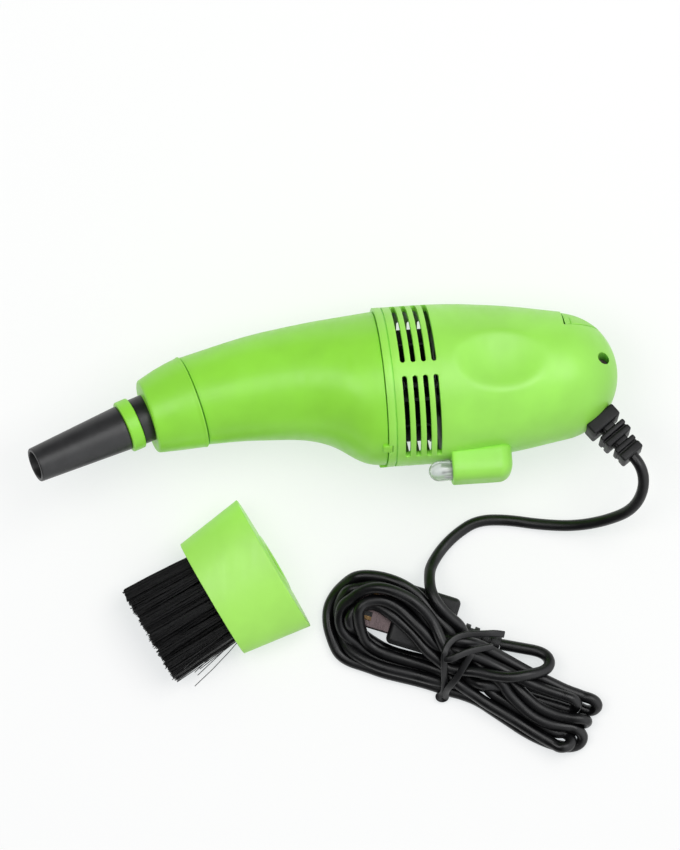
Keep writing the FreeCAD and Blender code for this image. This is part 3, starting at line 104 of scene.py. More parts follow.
# the hank as its turns came to rest on the table, worked out once outside this file:
# each list of points runs from the tie round one loop and back to the tie
HANK_RUNS = [
    # over the grip of the plug
    [(25.1, -19.1, 4.8), (24.7, -22.1, 8.1), (25.1, -25.7, 10.4), (27.2, -29.5, 11.2),
     (30.2, -32.5, 10.1), (32.6, -34.4, 9.3), (34.0, -37.1, 8.2)],
    # right loop 1
    [(35.0, -41.7, 7.7), (37.6, -45.2, 7.1), (41.3, -47.7, 7.1), (43.9, -49.6, 7.6),
     (45.3, -52.3, 6.8), (48.4, -55.5, 6.0), (51.7, -58.5, 5.7), (55.8, -60.5, 5.4),
     (59.1, -61.1, 4.9), (60.7, -61.3, 4.7), (62.2, -61.4, 4.4), (63.7, -62.1, 4.1),
     (64.7, -63.0, 3.3), (65.2, -64.2, 2.4), (64.6, -65.6, 1.8), (63.3, -66.4, 1.5),
     (61.7, -66.7, 1.5), (60.1, -66.6, 1.5), (57.4, -66.1, 1.5), (53.2, -64.4, 1.5),
     (49.2, -62.2, 1.5), (45.5, -59.7, 1.5), (41.7, -57.2, 1.5), (38.0, -54.7, 1.5),
     (34.0, -53.0, 1.5), (29.6, -51.9, 1.5)],
    # left loop 1
    [(25.4, -50.4, 1.5), (21.1, -49.2, 1.5), (16.7, -48.2, 1.5), (12.3, -47.1, 1.5), (8.0, -45.5, 1.5),
     (3.5, -44.1, 1.5), (0.9, -42.2, 1.5), (-0.5, -39.2, 1.5), (-1.9, -34.7, 1.5), (-1.9, -30.1, 1.5),
     (0.2, -26.1, 2.6), (3.1, -23.3, 5.3), (5.1, -21.9, 7.6), (8.2, -21.4, 8.0), (12.8, -22.0, 8.5),
     (17.2, -23.5, 9.3), (21.0, -25.9, 9.3), (24.1, -29.2, 9.3), (26.8, -32.8, 9.3),
     (30.1, -35.9, 9.3), (31.6, -38.7, 8.0), (32.8, -40.9, 5.7)],
    # right loop 2
    [(35.8, -41.6, 4.9), (39.8, -43.8, 5.5), (43.4, -46.7, 5.1), (46.7, -49.6, 5.5),
     (49.8, -52.9, 6.5), (53.2, -56.0, 6.1), (57.3, -57.9, 5.8), (60.1, -58.6, 5.9),
     (61.7, -58.9, 5.9), (63.3, -59.1, 6.0), (64.9, -59.2, 5.8), (66.0, -59.6, 4.8),
     (66.3, -60.1, 3.3), (65.4, -60.5, 2.0), (63.9, -60.8, 1.5), (62.5, -60.2, 1.5),
     (60.9, -59.8, 1.5), (59.4, -59.4, 1.5), (54.8, -57.6, 1.5), (50.7, -55.6, 1.5),
     (46.5, -53.9, 1.5), (42.6, -51.8, 1.5), (38.2, -50.5, 1.5), (33.9, -50.1, 2.3),
     (29.6, -49.9, 3.7)],
    # left loop 2
    [(25.2, -48.9, 4.1), (20.9, -47.7, 4.1), (16.5, -46.7, 4.1), (12.1, -45.6, 4.0), (7.9, -43.8, 3.9),
     (4.0, -41.5, 2.8), (2.5, -39.0, 1.6), (1.1, -34.6, 1.7), (0.7, -30.4, 3.0), (2.1, -26.9, 5.5),
     (3.6, -25.2, 7.6), (6.4, -24.6, 8.0), (10.3, -24.1, 9.5), (14.4, -25.2, 10.3),
     (18.3, -27.3, 10.2), (21.5, -30.3, 10.1), (24.0, -33.9, 9.5), (27.0, -37.0, 9.3),
     (29.3, -38.4, 10.4), (32.5, -38.7, 11.1)],
    # right loop 3
    [(35.8, -39.1, 10.5), (38.2, -39.9, 8.6), (40.7, -41.2, 8.0), (44.6, -43.4, 6.8),
     (48.5, -45.6, 6.3), (52.4, -47.7, 5.8), (56.5, -49.6, 5.6), (60.5, -51.6, 5.1),
     (63.9, -52.8, 4.7), (65.4, -53.4, 4.6), (66.9, -53.8, 4.9), (68.3, -54.5, 4.6),
     (69.0, -55.6, 3.7), (68.6, -56.6, 2.5), (67.4, -57.2, 1.6), (65.8, -57.1, 1.5),
     (64.4, -56.3, 1.5), (63.0, -55.7, 1.5), (57.3, -53.9, 1.5), (53.1, -52.3, 1.5),
     (48.7, -51.0, 1.5), (44.5, -49.5, 1.5), (40.3, -47.8, 1.5), (35.8, -47.2, 1.5),
     (31.3, -47.7, 1.5)],
    # left loop 3
    [(28.3, -48.1, 1.5), (25.4, -47.4, 1.5), (21.0, -46.2, 1.5), (16.6, -45.2, 1.5),
     (12.3, -44.0, 1.5), (8.3, -42.1, 1.5), (5.4, -39.0, 3.2), (2.8, -37.5, 4.3), (1.3, -34.7, 4.7),
     (1.2, -31.6, 5.7), (2.1, -29.2, 7.7), (4.2, -27.6, 9.1), (7.4, -25.2, 11.3), (11.4, -24.4, 12.9),
     (15.8, -25.6, 13.3), (19.9, -27.6, 13.1), (23.4, -30.5, 12.6), (26.1, -34.2, 11.9),
     (27.3, -37.1, 12.4), (28.7, -40.4, 12.4), (30.4, -43.2, 10.9)],
    # right loop 4
    [(32.2, -43.7, 7.8), (34.2, -44.9, 5.6), (38.0, -47.5, 4.4), (39.4, -50.2, 4.1),
     (41.3, -52.7, 4.0), (45.3, -54.9, 4.0), (49.0, -57.5, 3.1), (52.7, -60.2, 2.8),
     (57.0, -62.6, 2.9), (58.6, -63.0, 2.7), (60.1, -62.9, 2.4), (61.5, -63.6, 2.7),
     (62.1, -64.8, 3.7), (61.7, -66.1, 4.5), (60.4, -66.7, 5.2), (58.8, -66.7, 5.0),
     (57.5, -65.8, 4.6), (56.1, -65.1, 4.5), (51.4, -62.3, 4.4), (47.6, -59.8, 4.4),
     (43.8, -57.5, 4.3), (39.9, -55.2, 4.4), (36.2, -52.6, 4.3), (32.5, -50.2, 5.7)],
    # left loop 4
    [(29.0, -47.1, 5.2), (24.9, -45.6, 4.2), (20.5, -44.4, 4.2), (16.2, -43.1, 4.3),
     (12.0, -41.7, 4.3), (9.5, -40.2, 4.2), (7.7, -38.3, 5.0), (6.6, -35.1, 7.7), (6.2, -32.7, 9.3),
     (6.2, -30.2, 10.5), (8.3, -28.2, 10.6), (12.6, -27.8, 10.8), (16.6, -29.8, 10.5),
     (19.8, -32.8, 10.8), (23.0, -36.0, 11.4), (26.0, -39.6, 10.4), (28.7, -40.9, 9.3),
     (31.9, -41.0, 9.6)],
    # right loop 5
    [(34.7, -42.0, 10.6), (37.6, -42.9, 9.8), (41.5, -44.9, 8.6), (45.5, -46.9, 8.0),
     (49.5, -49.1, 7.7), (53.6, -50.9, 7.6), (58.1, -52.5, 7.6), (59.7, -53.0, 7.5),
     (61.2, -53.5, 7.6), (62.7, -54.1, 7.4), (63.6, -55.1, 6.5), (63.5, -56.0, 5.2),
     (62.4, -56.6, 4.2), (60.9, -56.7, 3.9), (59.4, -56.1, 4.0), (57.8, -55.6, 3.9),
     (56.3, -55.2, 3.9), (51.9, -53.8, 3.7), (47.5, -52.5, 3.8), (44.7, -51.2, 4.1),
     (42.0, -50.5, 5.6), (38.8, -50.3, 6.9), (35.9, -49.3, 5.4), (32.3, -46.5, 4.1)],
    # left loop 5
    [(29.7, -45.3, 2.8), (26.9, -44.8, 1.6), (22.6, -43.6, 1.5), (18.2, -42.6, 1.5),
     (13.9, -41.3, 1.5), (9.9, -39.0, 1.5), (7.2, -37.0, 2.4), (6.1, -36.3, 3.3), (5.2, -35.7, 4.4),
     (4.5, -35.1, 5.7), (4.0, -34.3, 7.0), (3.9, -32.8, 7.7), (4.5, -31.3, 7.7), (5.5, -30.1, 7.7),
     (7.0, -29.4, 7.8), (8.5, -29.2, 7.9), (11.0, -29.2, 8.2), (14.5, -31.5, 9.3), (17.9, -34.4, 9.3),
     (21.1, -37.5, 9.3), (23.8, -41.1, 9.3), (27.4, -43.9, 9.3), (29.7, -45.9, 8.7)],
    # loop to the plug
    [(32.8, -46.4, 8.8), (37.2, -46.7, 9.7), (41.6, -47.8, 10.2), (46.1, -48.3, 10.6),
     (50.6, -47.6, 10.0), (54.6, -46.8, 8.0), (56.5, -45.2, 6.4), (56.1, -43.0, 4.9),
     (53.7, -41.5, 4.2), (49.3, -40.7, 4.0)]]
PLUG_END = (43.4, -39.65, 3.95)
# the tie, along the hank, across it and up
TIE_BAND = [(6.6, 9.7, 10.6), (4.4, 8.9, 11.8), (2.2, 7.7, 12.3), (-1.2, 5.8, 12.4), (-4.0, 3.5, 12.8),
            (-5.2, 0.6, 13.7), (-4.8, -2.3, 14.0), (-3.3, -5.3, 11.3), (-1.6, -8.4, 7.2), (-0.5, -11.2, 3.6),
            (-1.1, -12.5, 1.9), (-0.4, -13.0, 1.1), (0.6, -12.2, 1.5), (0.1, -10.9, 4.0), (0.2, -8.8, 7.4),
            (0.8, -6.0, 10.0), (1.0, -3.4, 11.6), (1.3, 0.2, 12.9), (1.6, 1.6, 12.9)]
TIE_TAIL = [(-4.2, -3.0, 13.9), (-2.6, -2.0, 14.4), (-0.4, 0.7, 14.0), (2.7, 3.5, 13.3), (5.5, 5.6, 12.6)]


def linear(code):
    """Linear colour of an sRGB hex code."""
    share = np.array([int(code[place:place + 2], 16) for place in (1, 3, 5)]) / 255
    return tuple(np.where(share <= 0.04045, share / 12.92, ((share + 0.055) / 1.055) ** 2.4))


def turn(axis, degrees):
    """Matrix of a turn about one axis: 0 is x, 1 is y, 2 is z."""
    first, second = ((1, 2), (2, 0), (0, 1))[axis]
    angle = math.radians(degrees)
    matrix = np.eye(3)
    matrix[first, first] = matrix[second, second] = math.cos(angle)
    matrix[second, first], matrix[first, second] = math.sin(angle), -math.sin(angle)
    return matrix


def unit(vector):
    """The same direction with length one."""
    return np.asarray(vector, float) / np.linalg.norm(vector)


class Lie:
    """How a group of pieces lies on the table: a point and its turns."""

    def __init__(self, at=(0, 0, 0), yaw=0.0, pitch=0.0, roll=0.0):
        self.at = np.array(at, float)
        self.turned = turn(2, yaw) @ turn(1, pitch) @ turn(0, roll)

    def place(self, points):
        """Points of the group's own frame, in metres on the table."""
        return (np.asarray(points) @ self.turned.T + self.at) * MM


VACUUM = Lie((14.6, 28.0, 21.9), 3.8, 4.5, -15.5)
BRUSH = Lie((-32.3, -27.7, 8.5), 30.4, -2.588)
PLUG = Lie((23.2, -33.5, 3.95), -17.0)
TIE = Lie(TIE_AT, -27.0)


# ---- surfaces as arrays --------------------------------------------------------------
def through(knots, values, at):
    """Natural cubic spline through values at knots: cubics whose slope and bend agree where they meet."""
    knots, at = np.asarray(knots, float), np.asarray(at, float)
    values = np.asarray(values, float).reshape(len(knots), -1)
    step = np.diff(knots)[:, None]
    slope = np.diff(values, axis=0) / step
    inner = np.arange(1, len(knots) - 1)
    system = np.eye(len(knots))
    system[inner, inner - 1], system[inner, inner + 1] = step[:-1, 0], step[1:, 0]
    system[inner, inner] = 2 * (step[:-1, 0] + step[1:, 0])
    known = np.zeros_like(values)
    known[1:-1] = 6 * np.diff(slope, axis=0)
    bend = np.linalg.solve(system, known)
    part = np.clip(np.searchsorted(knots, at, side="right") - 1, 0, len(knots) - 2)
    width, past = step[part], (at - knots[part])[:, None]
    left = width - past
    cubic = (bend[part] * left ** 3 + bend[part + 1] * past ** 3) / (6 * width)
    line = (values[part] / width - bend[part] * width / 6) * left
    return cubic + line + (values[part + 1] / width - bend[part + 1] * width / 6) * past


def grid(points, wrap=False, keep=None):
    """Vertices and quads of rows by columns of points; wrap joins the last column to the first."""
    rows, columns = points.shape[:2]
    index = np.arange(rows * columns).reshape(rows, columns)
    if wrap:
        index = np.hstack([index, index[:, :1]])
    quads = np.stack([index[:-1, :-1], index[:-1, 1:], index[1:, 1:], index[1:, :-1]], axis=-1)
    if keep is not None:
        quads = quads[keep]
    return points.reshape(-1, 3), quads.reshape(-1, 4)


def softened(corners, radius, steps=4, closed=False):
    """Profile with soft corners: each is a quadratic Bezier that starts and ends radius away from it."""
    corners = np.asarray(corners, float)
    back, ahead = np.roll(corners, 1, 0) - corners, np.roll(corners, -1, 0) - corners
    back_length = np.maximum(np.linalg.norm(back, axis=1, keepdims=True), 1e-9)
    ahead_length = np.maximum(np.linalg.norm(ahead, axis=1, keepdims=True), 1e-9)
    start = corners + back * np.minimum(radius / back_length, 0.48)
    end = corners + ahead * np.minimum(radius / ahead_length, 0.48)
    share = np.linspace(0, 1, steps)[None, :, None]
    curve = (start[:, None] * (1 - share) ** 2 + corners[:, None] * 2 * share * (1 - share)
             + end[:, None] * share ** 2)
    if closed:
        ring = curve.reshape(-1, corners.shape[1])
        return np.vstack([ring, ring[:1]])
    return np.vstack([corners[:1], curve[1:-1].reshape(-1, corners.shape[1]), corners[-1:]])


def turned(profile, start, direction, sides=72):
    """Surface of revolution: start + direction * along + radius * (across * cos + up * sin)."""
    profile, direction = np.asarray(profile, float), unit(direction)
    across = unit(np.cross(direction, Z if abs(direction[2]) < 0.9 else X))
    up = np.cross(direction, across)
    angle = np.linspace(0, 2 * math.pi, sides, endpoint=False)[:, None]
    ring = np.cos(angle) * across + np.sin(angle) * up
    return np.asarray(start) + profile[:, None, :1] * direction + profile[:, None, 1:] * ring


def oval(sections, share, grow, angle):
    """Ovals through sections: centre + up * half height * sin + z * half width * cos, made larger by grow."""
    values = through(np.arange(len(sections)), sections, share)
    top, bottom = values[:, None, :2], values[:, None, 2:4]
    centre, tall = (top + bottom) / 2, np.linalg.norm(top - bottom, axis=-1, keepdims=True)
    up, grow = (top - bottom) / tall, np.asarray(grow, float).reshape(-1, 1, 1)
    flat = centre + up * (tall / 2 + grow) * np.sin(angle)[None, :, None]
    side = (values[:, None, 4:5] + grow) * np.cos(angle)[None, :, None]
    return np.concatenate([flat, side], axis=-1)


def rounded_block(half, radius, steps=5):
    """Box with round edges: in each octant, the inner box's corner plus radius times a unit direction."""
    arc = np.linspace(0, math.pi / 2, steps)
    round_angle = np.concatenate([arc + quarter * math.pi / 2 for quarter in range(4)])
    side = np.repeat([(1, 1), (-1, 1), (-1, -1), (1, -1)], steps, axis=0)
    rise, level = np.concatenate([arc - math.pi / 2, arc]), np.repeat((-1, 1), steps)
    shape = (2 * steps, 4 * steps)
    direction = np.stack([np.outer(np.cos(rise), np.cos(round_angle)),
                          np.outer(np.cos(rise), np.sin(round_angle)),
                          np.repeat(np.sin(rise)[:, None], shape[1], axis=1)], axis=-1)
    corner = np.stack([np.broadcast_to(side[:, 0], shape), np.broadcast_to(side[:, 1], shape),
                       np.broadcast_to(level[:, None], shape)], axis=-1)
    inner = np.asarray(half, float) - radius
    points = corner * inner + radius * direction
    caps = np.zeros((2, 1, shape[1], 3))
    caps[0, ..., 2], caps[1, ..., 2] = -half[2], half[2]
    return np.concatenate([caps[0], points, caps[1]])


def swept(path, outline, along):
    """Outline carried on a path: each point moves by a across and b along a fixed direction."""
    path, outline, along = np.asarray(path, float), np.asarray(outline, float), unit(along)
    heading = np.gradient(path, axis=0)
    heading /= np.linalg.norm(heading, axis=1, keepdims=True)
    across = np.cross(heading, along)
    across /= np.linalg.norm(across, axis=1, keepdims=True)
    over = np.cross(across, heading)
    return path[:, None] + across[:, None] * outline[None, :, :1] + over[:, None] * outline[None, :, 1:]


def ends_closed(rows):
    """Grid with a first and a last row drawn together into one point."""
    first = np.broadcast_to(rows[0].mean(axis=0), rows[0].shape)
    last = np.broadcast_to(rows[-1].mean(axis=0), rows[-1].shape)
    return np.concatenate([first[None], rows, last[None]])


# ---- pieces --------------------------------------------------------------------------
def cleaned(mesh, inside):
    """Merge seams and poles, drop what is loose and turn the faces outwards."""
    work = bmesh.new()
    work.from_mesh(mesh)
    bmesh.ops.remove_doubles(work, verts=work.verts, dist=2e-6)
    bmesh.ops.dissolve_degenerate(work, edges=work.edges, dist=1e-7)
    bmesh.ops.delete(work, geom=[vert for vert in work.verts if not vert.link_faces], context="VERTS")
    bmesh.ops.recalc_face_normals(work, faces=work.faces)
    if inside is not None:
        inside = Vector(inside)
        flow = sum(face.calc_area() * face.normal.dot(face.calc_center_median() - inside)
                   for face in work.faces)
        if flow < 0:
            bmesh.ops.reverse_faces(work, faces=work.faces)
    work.to_mesh(mesh)
    work.free()


def make_piece(name, patches, lie, body, material, stands_for=(), wall=0.0, edge=0.0, inside=None,
               hole=None):
    """Mesh object from patches of a group's frame, riding on its body: wall and edge are in millimetres,
    inside is a point that the outer faces look away from, and hole is a closed patch that is cut out."""
    vertices, faces, start = [], [], 0
    for points, quads in patches:
        vertices.append(points)
        faces.append(quads + start)
        start += len(points)
    mesh = bpy.data.meshes.new(name)
    mesh.from_pydata(lie.place(np.vstack(vertices)).tolist(), [], np.vstack(faces).tolist())
    cleaned(mesh, None if inside is None else lie.place(inside))
    piece = bpy.data.objects.new(name, mesh)
    bpy.context.scene.collection.objects.link(piece)
    if wall:
        modifier = piece.modifiers.new("wall", "SOLIDIFY")
        modifier.thickness, modifier.offset, modifier.use_even_offset = wall * MM, -1.0, True
    if edge:
        modifier = piece.modifiers.new("edge", "BEVEL")
        modifier.width, modifier.segments, modifier.limit_method = edge * MM, 2, "ANGLE"
        modifier.angle_limit = math.radians(45)
    if hole is not None:
        cutter = bpy.data.meshes.new(name + "_hole")
        cutter.from_pydata(lie.place(hole[0]).tolist(), [], hole[1].tolist())
        cleaned(cutter, None)
        tool = bpy.data.objects.new(name + "_hole", cutter)
        bpy.context.scene.collection.objects.link(tool)
        modifier = piece.modifiers.new("hole", "BOOLEAN")
        modifier.operation, modifier.object, modifier.solver = "DIFFERENCE", tool, "EXACT"
    if piece.modifiers:
        view = bpy.context.evaluated_depsgraph_get()
        piece.data = bpy.data.meshes.new_from_object(piece.evaluated_get(view))
        piece.modifiers.clear()
        bpy.data.meshes.remove(mesh)
        piece.data.name = name
    if hole is not None:
        bpy.data.objects.remove(tool)
        bpy.data.meshes.remove(cutter)
    piece.data.shade_smooth()
    piece.data.set_sharp_from_angle(angle=math.radians(38))
    return dressed(piece, body, material, stands_for)


def dressed(piece, body, material, stands_for=()):
    """Give a piece its material, its body and the CAD nodes that it stands for."""
    piece.data.materials.clear()
    piece.data.materials.append(material)
    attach(piece, body)
    if stands_for:
        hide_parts(*stands_for)
    return piece


# ---- materials -----------------------------------------------------------------------
def add(tree, kind, inputs=None, **settings):
    """Add a node: settings are its own properties, inputs are values or other nodes' outputs."""
    node = tree.nodes.new(kind)
    for name, value in settings.items():
        setattr(node, name, value)
    for name, value in (inputs or {}).items():
        if isinstance(value, bpy.types.NodeSocket):
            tree.links.new(value, node.inputs[name])
        else:
            node.inputs[name].default_value = value
    return node


def new_material(name, colour, roughness, **shader_values):
    """Material with one principled shader, and the place on the object that its patterns read."""
    material = bpy.data.materials.get(name)
    if material:
        return material, None, None, None
    material = bpy.data.materials.new(name)
    material.use_nodes = True
    tree = material.node_tree
    tree.nodes.clear()
    values = {"Base Color": (*colour, 1.0), "Roughness": roughness}
    values.update({key.replace("_", " "): value for key, value in shader_values.items()})
    shader = add(tree, "ShaderNodeBsdfPrincipled", values)
    add(tree, "ShaderNodeOutputMaterial", {"Surface": shader.outputs[0]})
    place = add(tree, "ShaderNodeTexCoord").outputs["Object"]
    return material, tree, shader, place


def noise(tree, place, size_mm, detail=2.0, stretch=None):
    """Noise whose lumps are about size_mm across, drawn out by stretch."""
    if stretch:
        place = add(tree, "ShaderNodeMapping", {"Vector": place, "Scale": stretch}).outputs[0]
    return add(tree, "ShaderNodeTexNoise", {"Vector": place, "Scale": 1 / (size_mm * MM), "Detail": detail})


def ramp(tree, value, low, high, out_low, out_high):
    """Carry a value from one range to another, held at the ends."""
    return add(tree, "ShaderNodeMapRange", {"Value": value, "From Min": low, "From Max": high,
                                            "To Min": out_low, "To Max": out_high}).outputs[0]


def blend(tree, share, first, second):
    """Mix of two colours."""
    node = add(tree, "ShaderNodeMix", data_type="RGBA")
    tree.links.new(share, node.inputs[0])
    node.inputs[6].default_value, node.inputs[7].default_value = (*first, 1.0), (*second, 1.0)
    return node.outputs[2]


def bump(tree, shader, height, depth_mm, strength=1.0):
    """Raise the surface by a height pattern of depth_mm."""
    node = add(tree, "ShaderNodeBump", {"Height": height, "Distance": depth_mm * MM, "Strength": strength})
    tree.links.new(node.outputs[0], shader.inputs["Normal"])


def shade(colour, factor):
    """A colour made darker or lighter."""
    return tuple(min(1.0, part * factor) for part in colour)


def moulded_abs(name, colour, roughness=0.36, grain_mm=0.5):
    """Injection-moulded ABS: even colour with faint flow clouds, a satin skin like fine orange peel."""
    material, tree, shader, place = new_material(name, colour, roughness, IOR=1.53)
    if tree:
        clouds = noise(tree, place, 16.0, 3.0).outputs[0]
        tint = blend(tree, ramp(tree, clouds, 0.35, 0.65, 0.0, 1.0), shade(colour, 0.94), shade(colour, 1.05))
        tree.links.new(tint, shader.inputs["Base Color"])
        wear = noise(tree, place, 1.6, 5.0, (1.0, 0.18, 0.4)).outputs[0]
        gloss = ramp(tree, wear, 0.3, 0.75, roughness - 0.05, roughness + 0.1)
        tree.links.new(gloss, shader.inputs["Roughness"])
        bump(tree, shader, noise(tree, place, grain_mm, 2.0).outputs[0], 0.006)
    return material


def nozzle_rubber(colour):
    """Moulded thermoplastic rubber: matt dark grey with a fine dusty grain."""
    material, tree, shader, place = new_material("thermoplastic_rubber", colour, 0.4, IOR=1.5)
    if tree:
        dust = noise(tree, place, 5.0, 4.0).outputs[0]
        tint = blend(tree, ramp(tree, dust, 0.4, 0.7, 0.0, 1.0), shade(colour, 0.85), shade(colour, 1.3))
        tree.links.new(tint, shader.inputs["Base Color"])
        bump(tree, shader, noise(tree, place, 0.35, 3.0).outputs[0], 0.02)
    return material


def soft_pvc(name, colour, roughness=0.34):
    """Extruded or moulded soft PVC: black with a low waxy shine and slight unevenness from drawing."""
    material, tree, shader, place = new_material(name, colour, roughness, IOR=1.42)
    if tree:
        bands = noise(tree, place, 6.0, 2.0).outputs[0]
        gloss = ramp(tree, bands, 0.35, 0.65, roughness - 0.07, roughness + 0.1)
        tree.links.new(gloss, shader.inputs["Roughness"])
        tint = blend(tree, ramp(tree, bands, 0.4, 0.65, 0.0, 1.0), shade(colour, 0.82), shade(colour, 1.2))
        tree.links.new(tint, shader.inputs["Base Color"])
        bump(tree, shader, noise(tree, place, 0.7, 2.0).outputs[0], 0.012)
    return material


def plated_steel(name, colour, roughness, stretch):
    """Nickel-plated sheet steel: bright, with fine drawing lines from the press."""
    material, tree, shader, place = new_material(name, colour, roughness, Metallic=1.0)
    if tree:
        lines = noise(tree, place, 0.5, 3.0, stretch).outputs[0]
        gloss = ramp(tree, lines, 0.3, 0.7, roughness - 0.08, roughness + 0.12)
        tree.links.new(gloss, shader.inputs["Roughness"])
        bump(tree, shader, lines, 0.003)
    return material


def clear_epoxy(colour):
    """Cast epoxy of the lamp: water-clear with a faint milky cast in patches."""
    material, tree, shader, place = new_material("cast_clear_epoxy", colour, 0.06, IOR=1.54)
    if tree:
        shader.inputs["Transmission Weight"].default_value = 0.7
        milk = noise(tree, place, 2.5, 2.0).outputs[0]
        tint = blend(tree, ramp(tree, milk, 0.35, 0.7, 0.0, 1.0), shade(colour, 0.9), colour)
        tree.links.new(tint, shader.inputs["Base Color"])
    return material


def filter_felt(colour):
    """Non-woven polyester felt of the dust filter: matt white with crossing fibres about 0.3 mm apart."""
    material, tree, shader, place = new_material("nonwoven_felt", colour, 0.92)
    if tree:
        first = noise(tree, place, 0.9, 4.0, (1.0, 4.0, 1.0)).outputs[0]
        second = noise(tree, place, 0.9, 4.0, (1.0, 1.0, 4.0)).outputs[0]
        fibres = add(tree, "ShaderNodeMath", {0: first, 1: second}, operation="MAXIMUM").outputs[0]
        tint = blend(tree, ramp(tree, fibres, 0.4, 0.7, 0.0, 1.0), shade(colour, 0.8), colour)
        tree.links.new(tint, shader.inputs["Base Color"])
        bump(tree, shader, fibres, 0.08)
    return material


def circuit_board(colour):
    """Paper-phenolic board: brown laminate with a faint paper grain and a satin resin skin."""
    material, tree, shader, place = new_material("phenolic_board", colour, 0.45)
    if tree:
        grain = noise(tree, place, 0.8, 4.0, (1.0, 3.0, 1.0)).outputs[0]
        tint = blend(tree, grain, shade(colour, 0.75), shade(colour, 1.2))
        tree.links.new(tint, shader.inputs["Base Color"])
        bump(tree, shader, grain, 0.01)
    return material


def gold_plate(colour):
    """Thin gold over nickel on the contacts: soft yellow shine with rubbed streaks."""
    material, tree, shader, place = new_material("gold_plate", colour, 0.25, Metallic=1.0)
    if tree:
        rubs = noise(tree, place, 0.4, 3.0, (0.2, 2.0, 1.0)).outputs[0]
        tree.links.new(ramp(tree, rubs, 0.3, 0.7, 0.15, 0.4), shader.inputs["Roughness"])
    return material


def wire_jacket(colour):
    """PVC jacket of the motor wires: red and smooth."""
    return soft_pvc("wire_jacket", colour, 0.4)


def nylon_bristle(colour):
    """Extruded nylon filament: glossy black, a little paler in places."""
    material, tree, shader, place = new_material("nylon_filament", colour, 0.32, IOR=1.53)
    if tree:
        batch = noise(tree, place, 1.2, 1.0).outputs[0]
        share = ramp(tree, batch, 0.35, 0.65, 0.0, 1.0)
        tint = blend(tree, share, shade(colour, 0.6), shade(colour, 1.7))
        tree.links.new(tint, shader.inputs["Base Color"])
    return material


def paper_floor(colour, lift):
    """Matt white sweep, lit from behind as on a light table: white, with pale and slightly cool shadows."""
    material, tree, shader, place = new_material("white_paper_sweep", colour, 0.95, Specular_IOR_Level=0.0)
    if tree:
        fibre = noise(tree, place, 60.0, 2.0).outputs[0]
        tree.links.new(blend(tree, fibre, shade(colour, 0.995), colour), shader.inputs["Base Color"])
        shader.inputs["Emission Color"].default_value = (0.955, 1.0, 1.02, 1.0)
        shader.inputs["Emission Strength"].default_value = lift
    return material


# ---- cord ----------------------------------------------------------------------------
def cord_points():
    """All control points of the cord: the route to the hank, its loops one by one, and the plug's end."""
    return np.vstack([CORD_ROUTE, *HANK_RUNS, PLUG_END])


def make_cord(sizes, colours):
    """The whole cord as one spline, from the strain relief through the hank to the plug."""
    points = cord_points()
    curve = bpy.data.curves.new("cord", "CURVE")
    curve.dimensions, curve.resolution_u, curve.render_resolution_u = "3D", 8, 8
    curve.bevel_depth, curve.bevel_resolution, curve.use_fill_caps = sizes.cord_diameter / 2, 5, True
    spline = curve.splines.new("NURBS")
    spline.points.add(len(points) - 1)
    spline.points.foreach_set("co", np.hstack([points * MM, np.ones((len(points), 1))]).ravel())
    spline.order_u, spline.use_endpoint_u = 3, True
    cord = bpy.data.objects.new("cord", curve)
    bpy.context.scene.collection.objects.link(cord)
    dressed(cord, "housing", soft_pvc("cord_jacket", colours.cord), ("cord_lead", "cord_hank"))


def make_tie(sizes, colours):
    """Flat tie: a band from its free end over the hank, round a small curl and back up, and a second end."""
    half, thick, soft, lean = sizes.tie_width / MM / 2, 0.5, 0.42, 0.2
    corners = [(-half, -thick), (half, -thick), (half, thick), (-half, thick)]
    section = softened(corners, soft, 4, closed=True)[:-1]
    patches = []
    for knots in (TIE_BAND, TIE_TAIL):
        share = np.linspace(0, len(knots) - 1, len(knots) * 9)
        band = swept(through(np.arange(len(knots)), knots, share), section, Z + X * lean)
        patches.append(grid(ends_closed(band), wrap=True))
    make_piece("twist_tie_band", patches, TIE, "housing",
               soft_pvc("tie_jacket", colours.cord, 0.38), ("twist_tie",))


def make_strain_relief(colours):
    """Stepped strain relief: round-edged blocks on a core, joined on alternate sides."""
    heading = np.array((math.cos(RELIEF_DROP), -math.sin(RELIEF_DROP), 0.0))
    basis = np.stack([heading, np.cross(Z, heading), Z])
    patches = []
    for start, length, half_a, half_b in RELIEF_BLOCKS:
        block = rounded_block((length / 2, half_a, half_b), min(0.6, length * 0.3))
        patches.append(grid((block + X * (start + length / 2)) @ basis + RELIEF_AT, wrap=True))
    patches.append(grid(turned(softened(RELIEF_CORE, 0.3), RELIEF_AT, heading, 40), wrap=True))
    make_piece("strain_relief_blocks", patches, VACUUM, "housing",
               soft_pvc("relief_moulding", colours.cord, 0.5), ("strain_relief",))


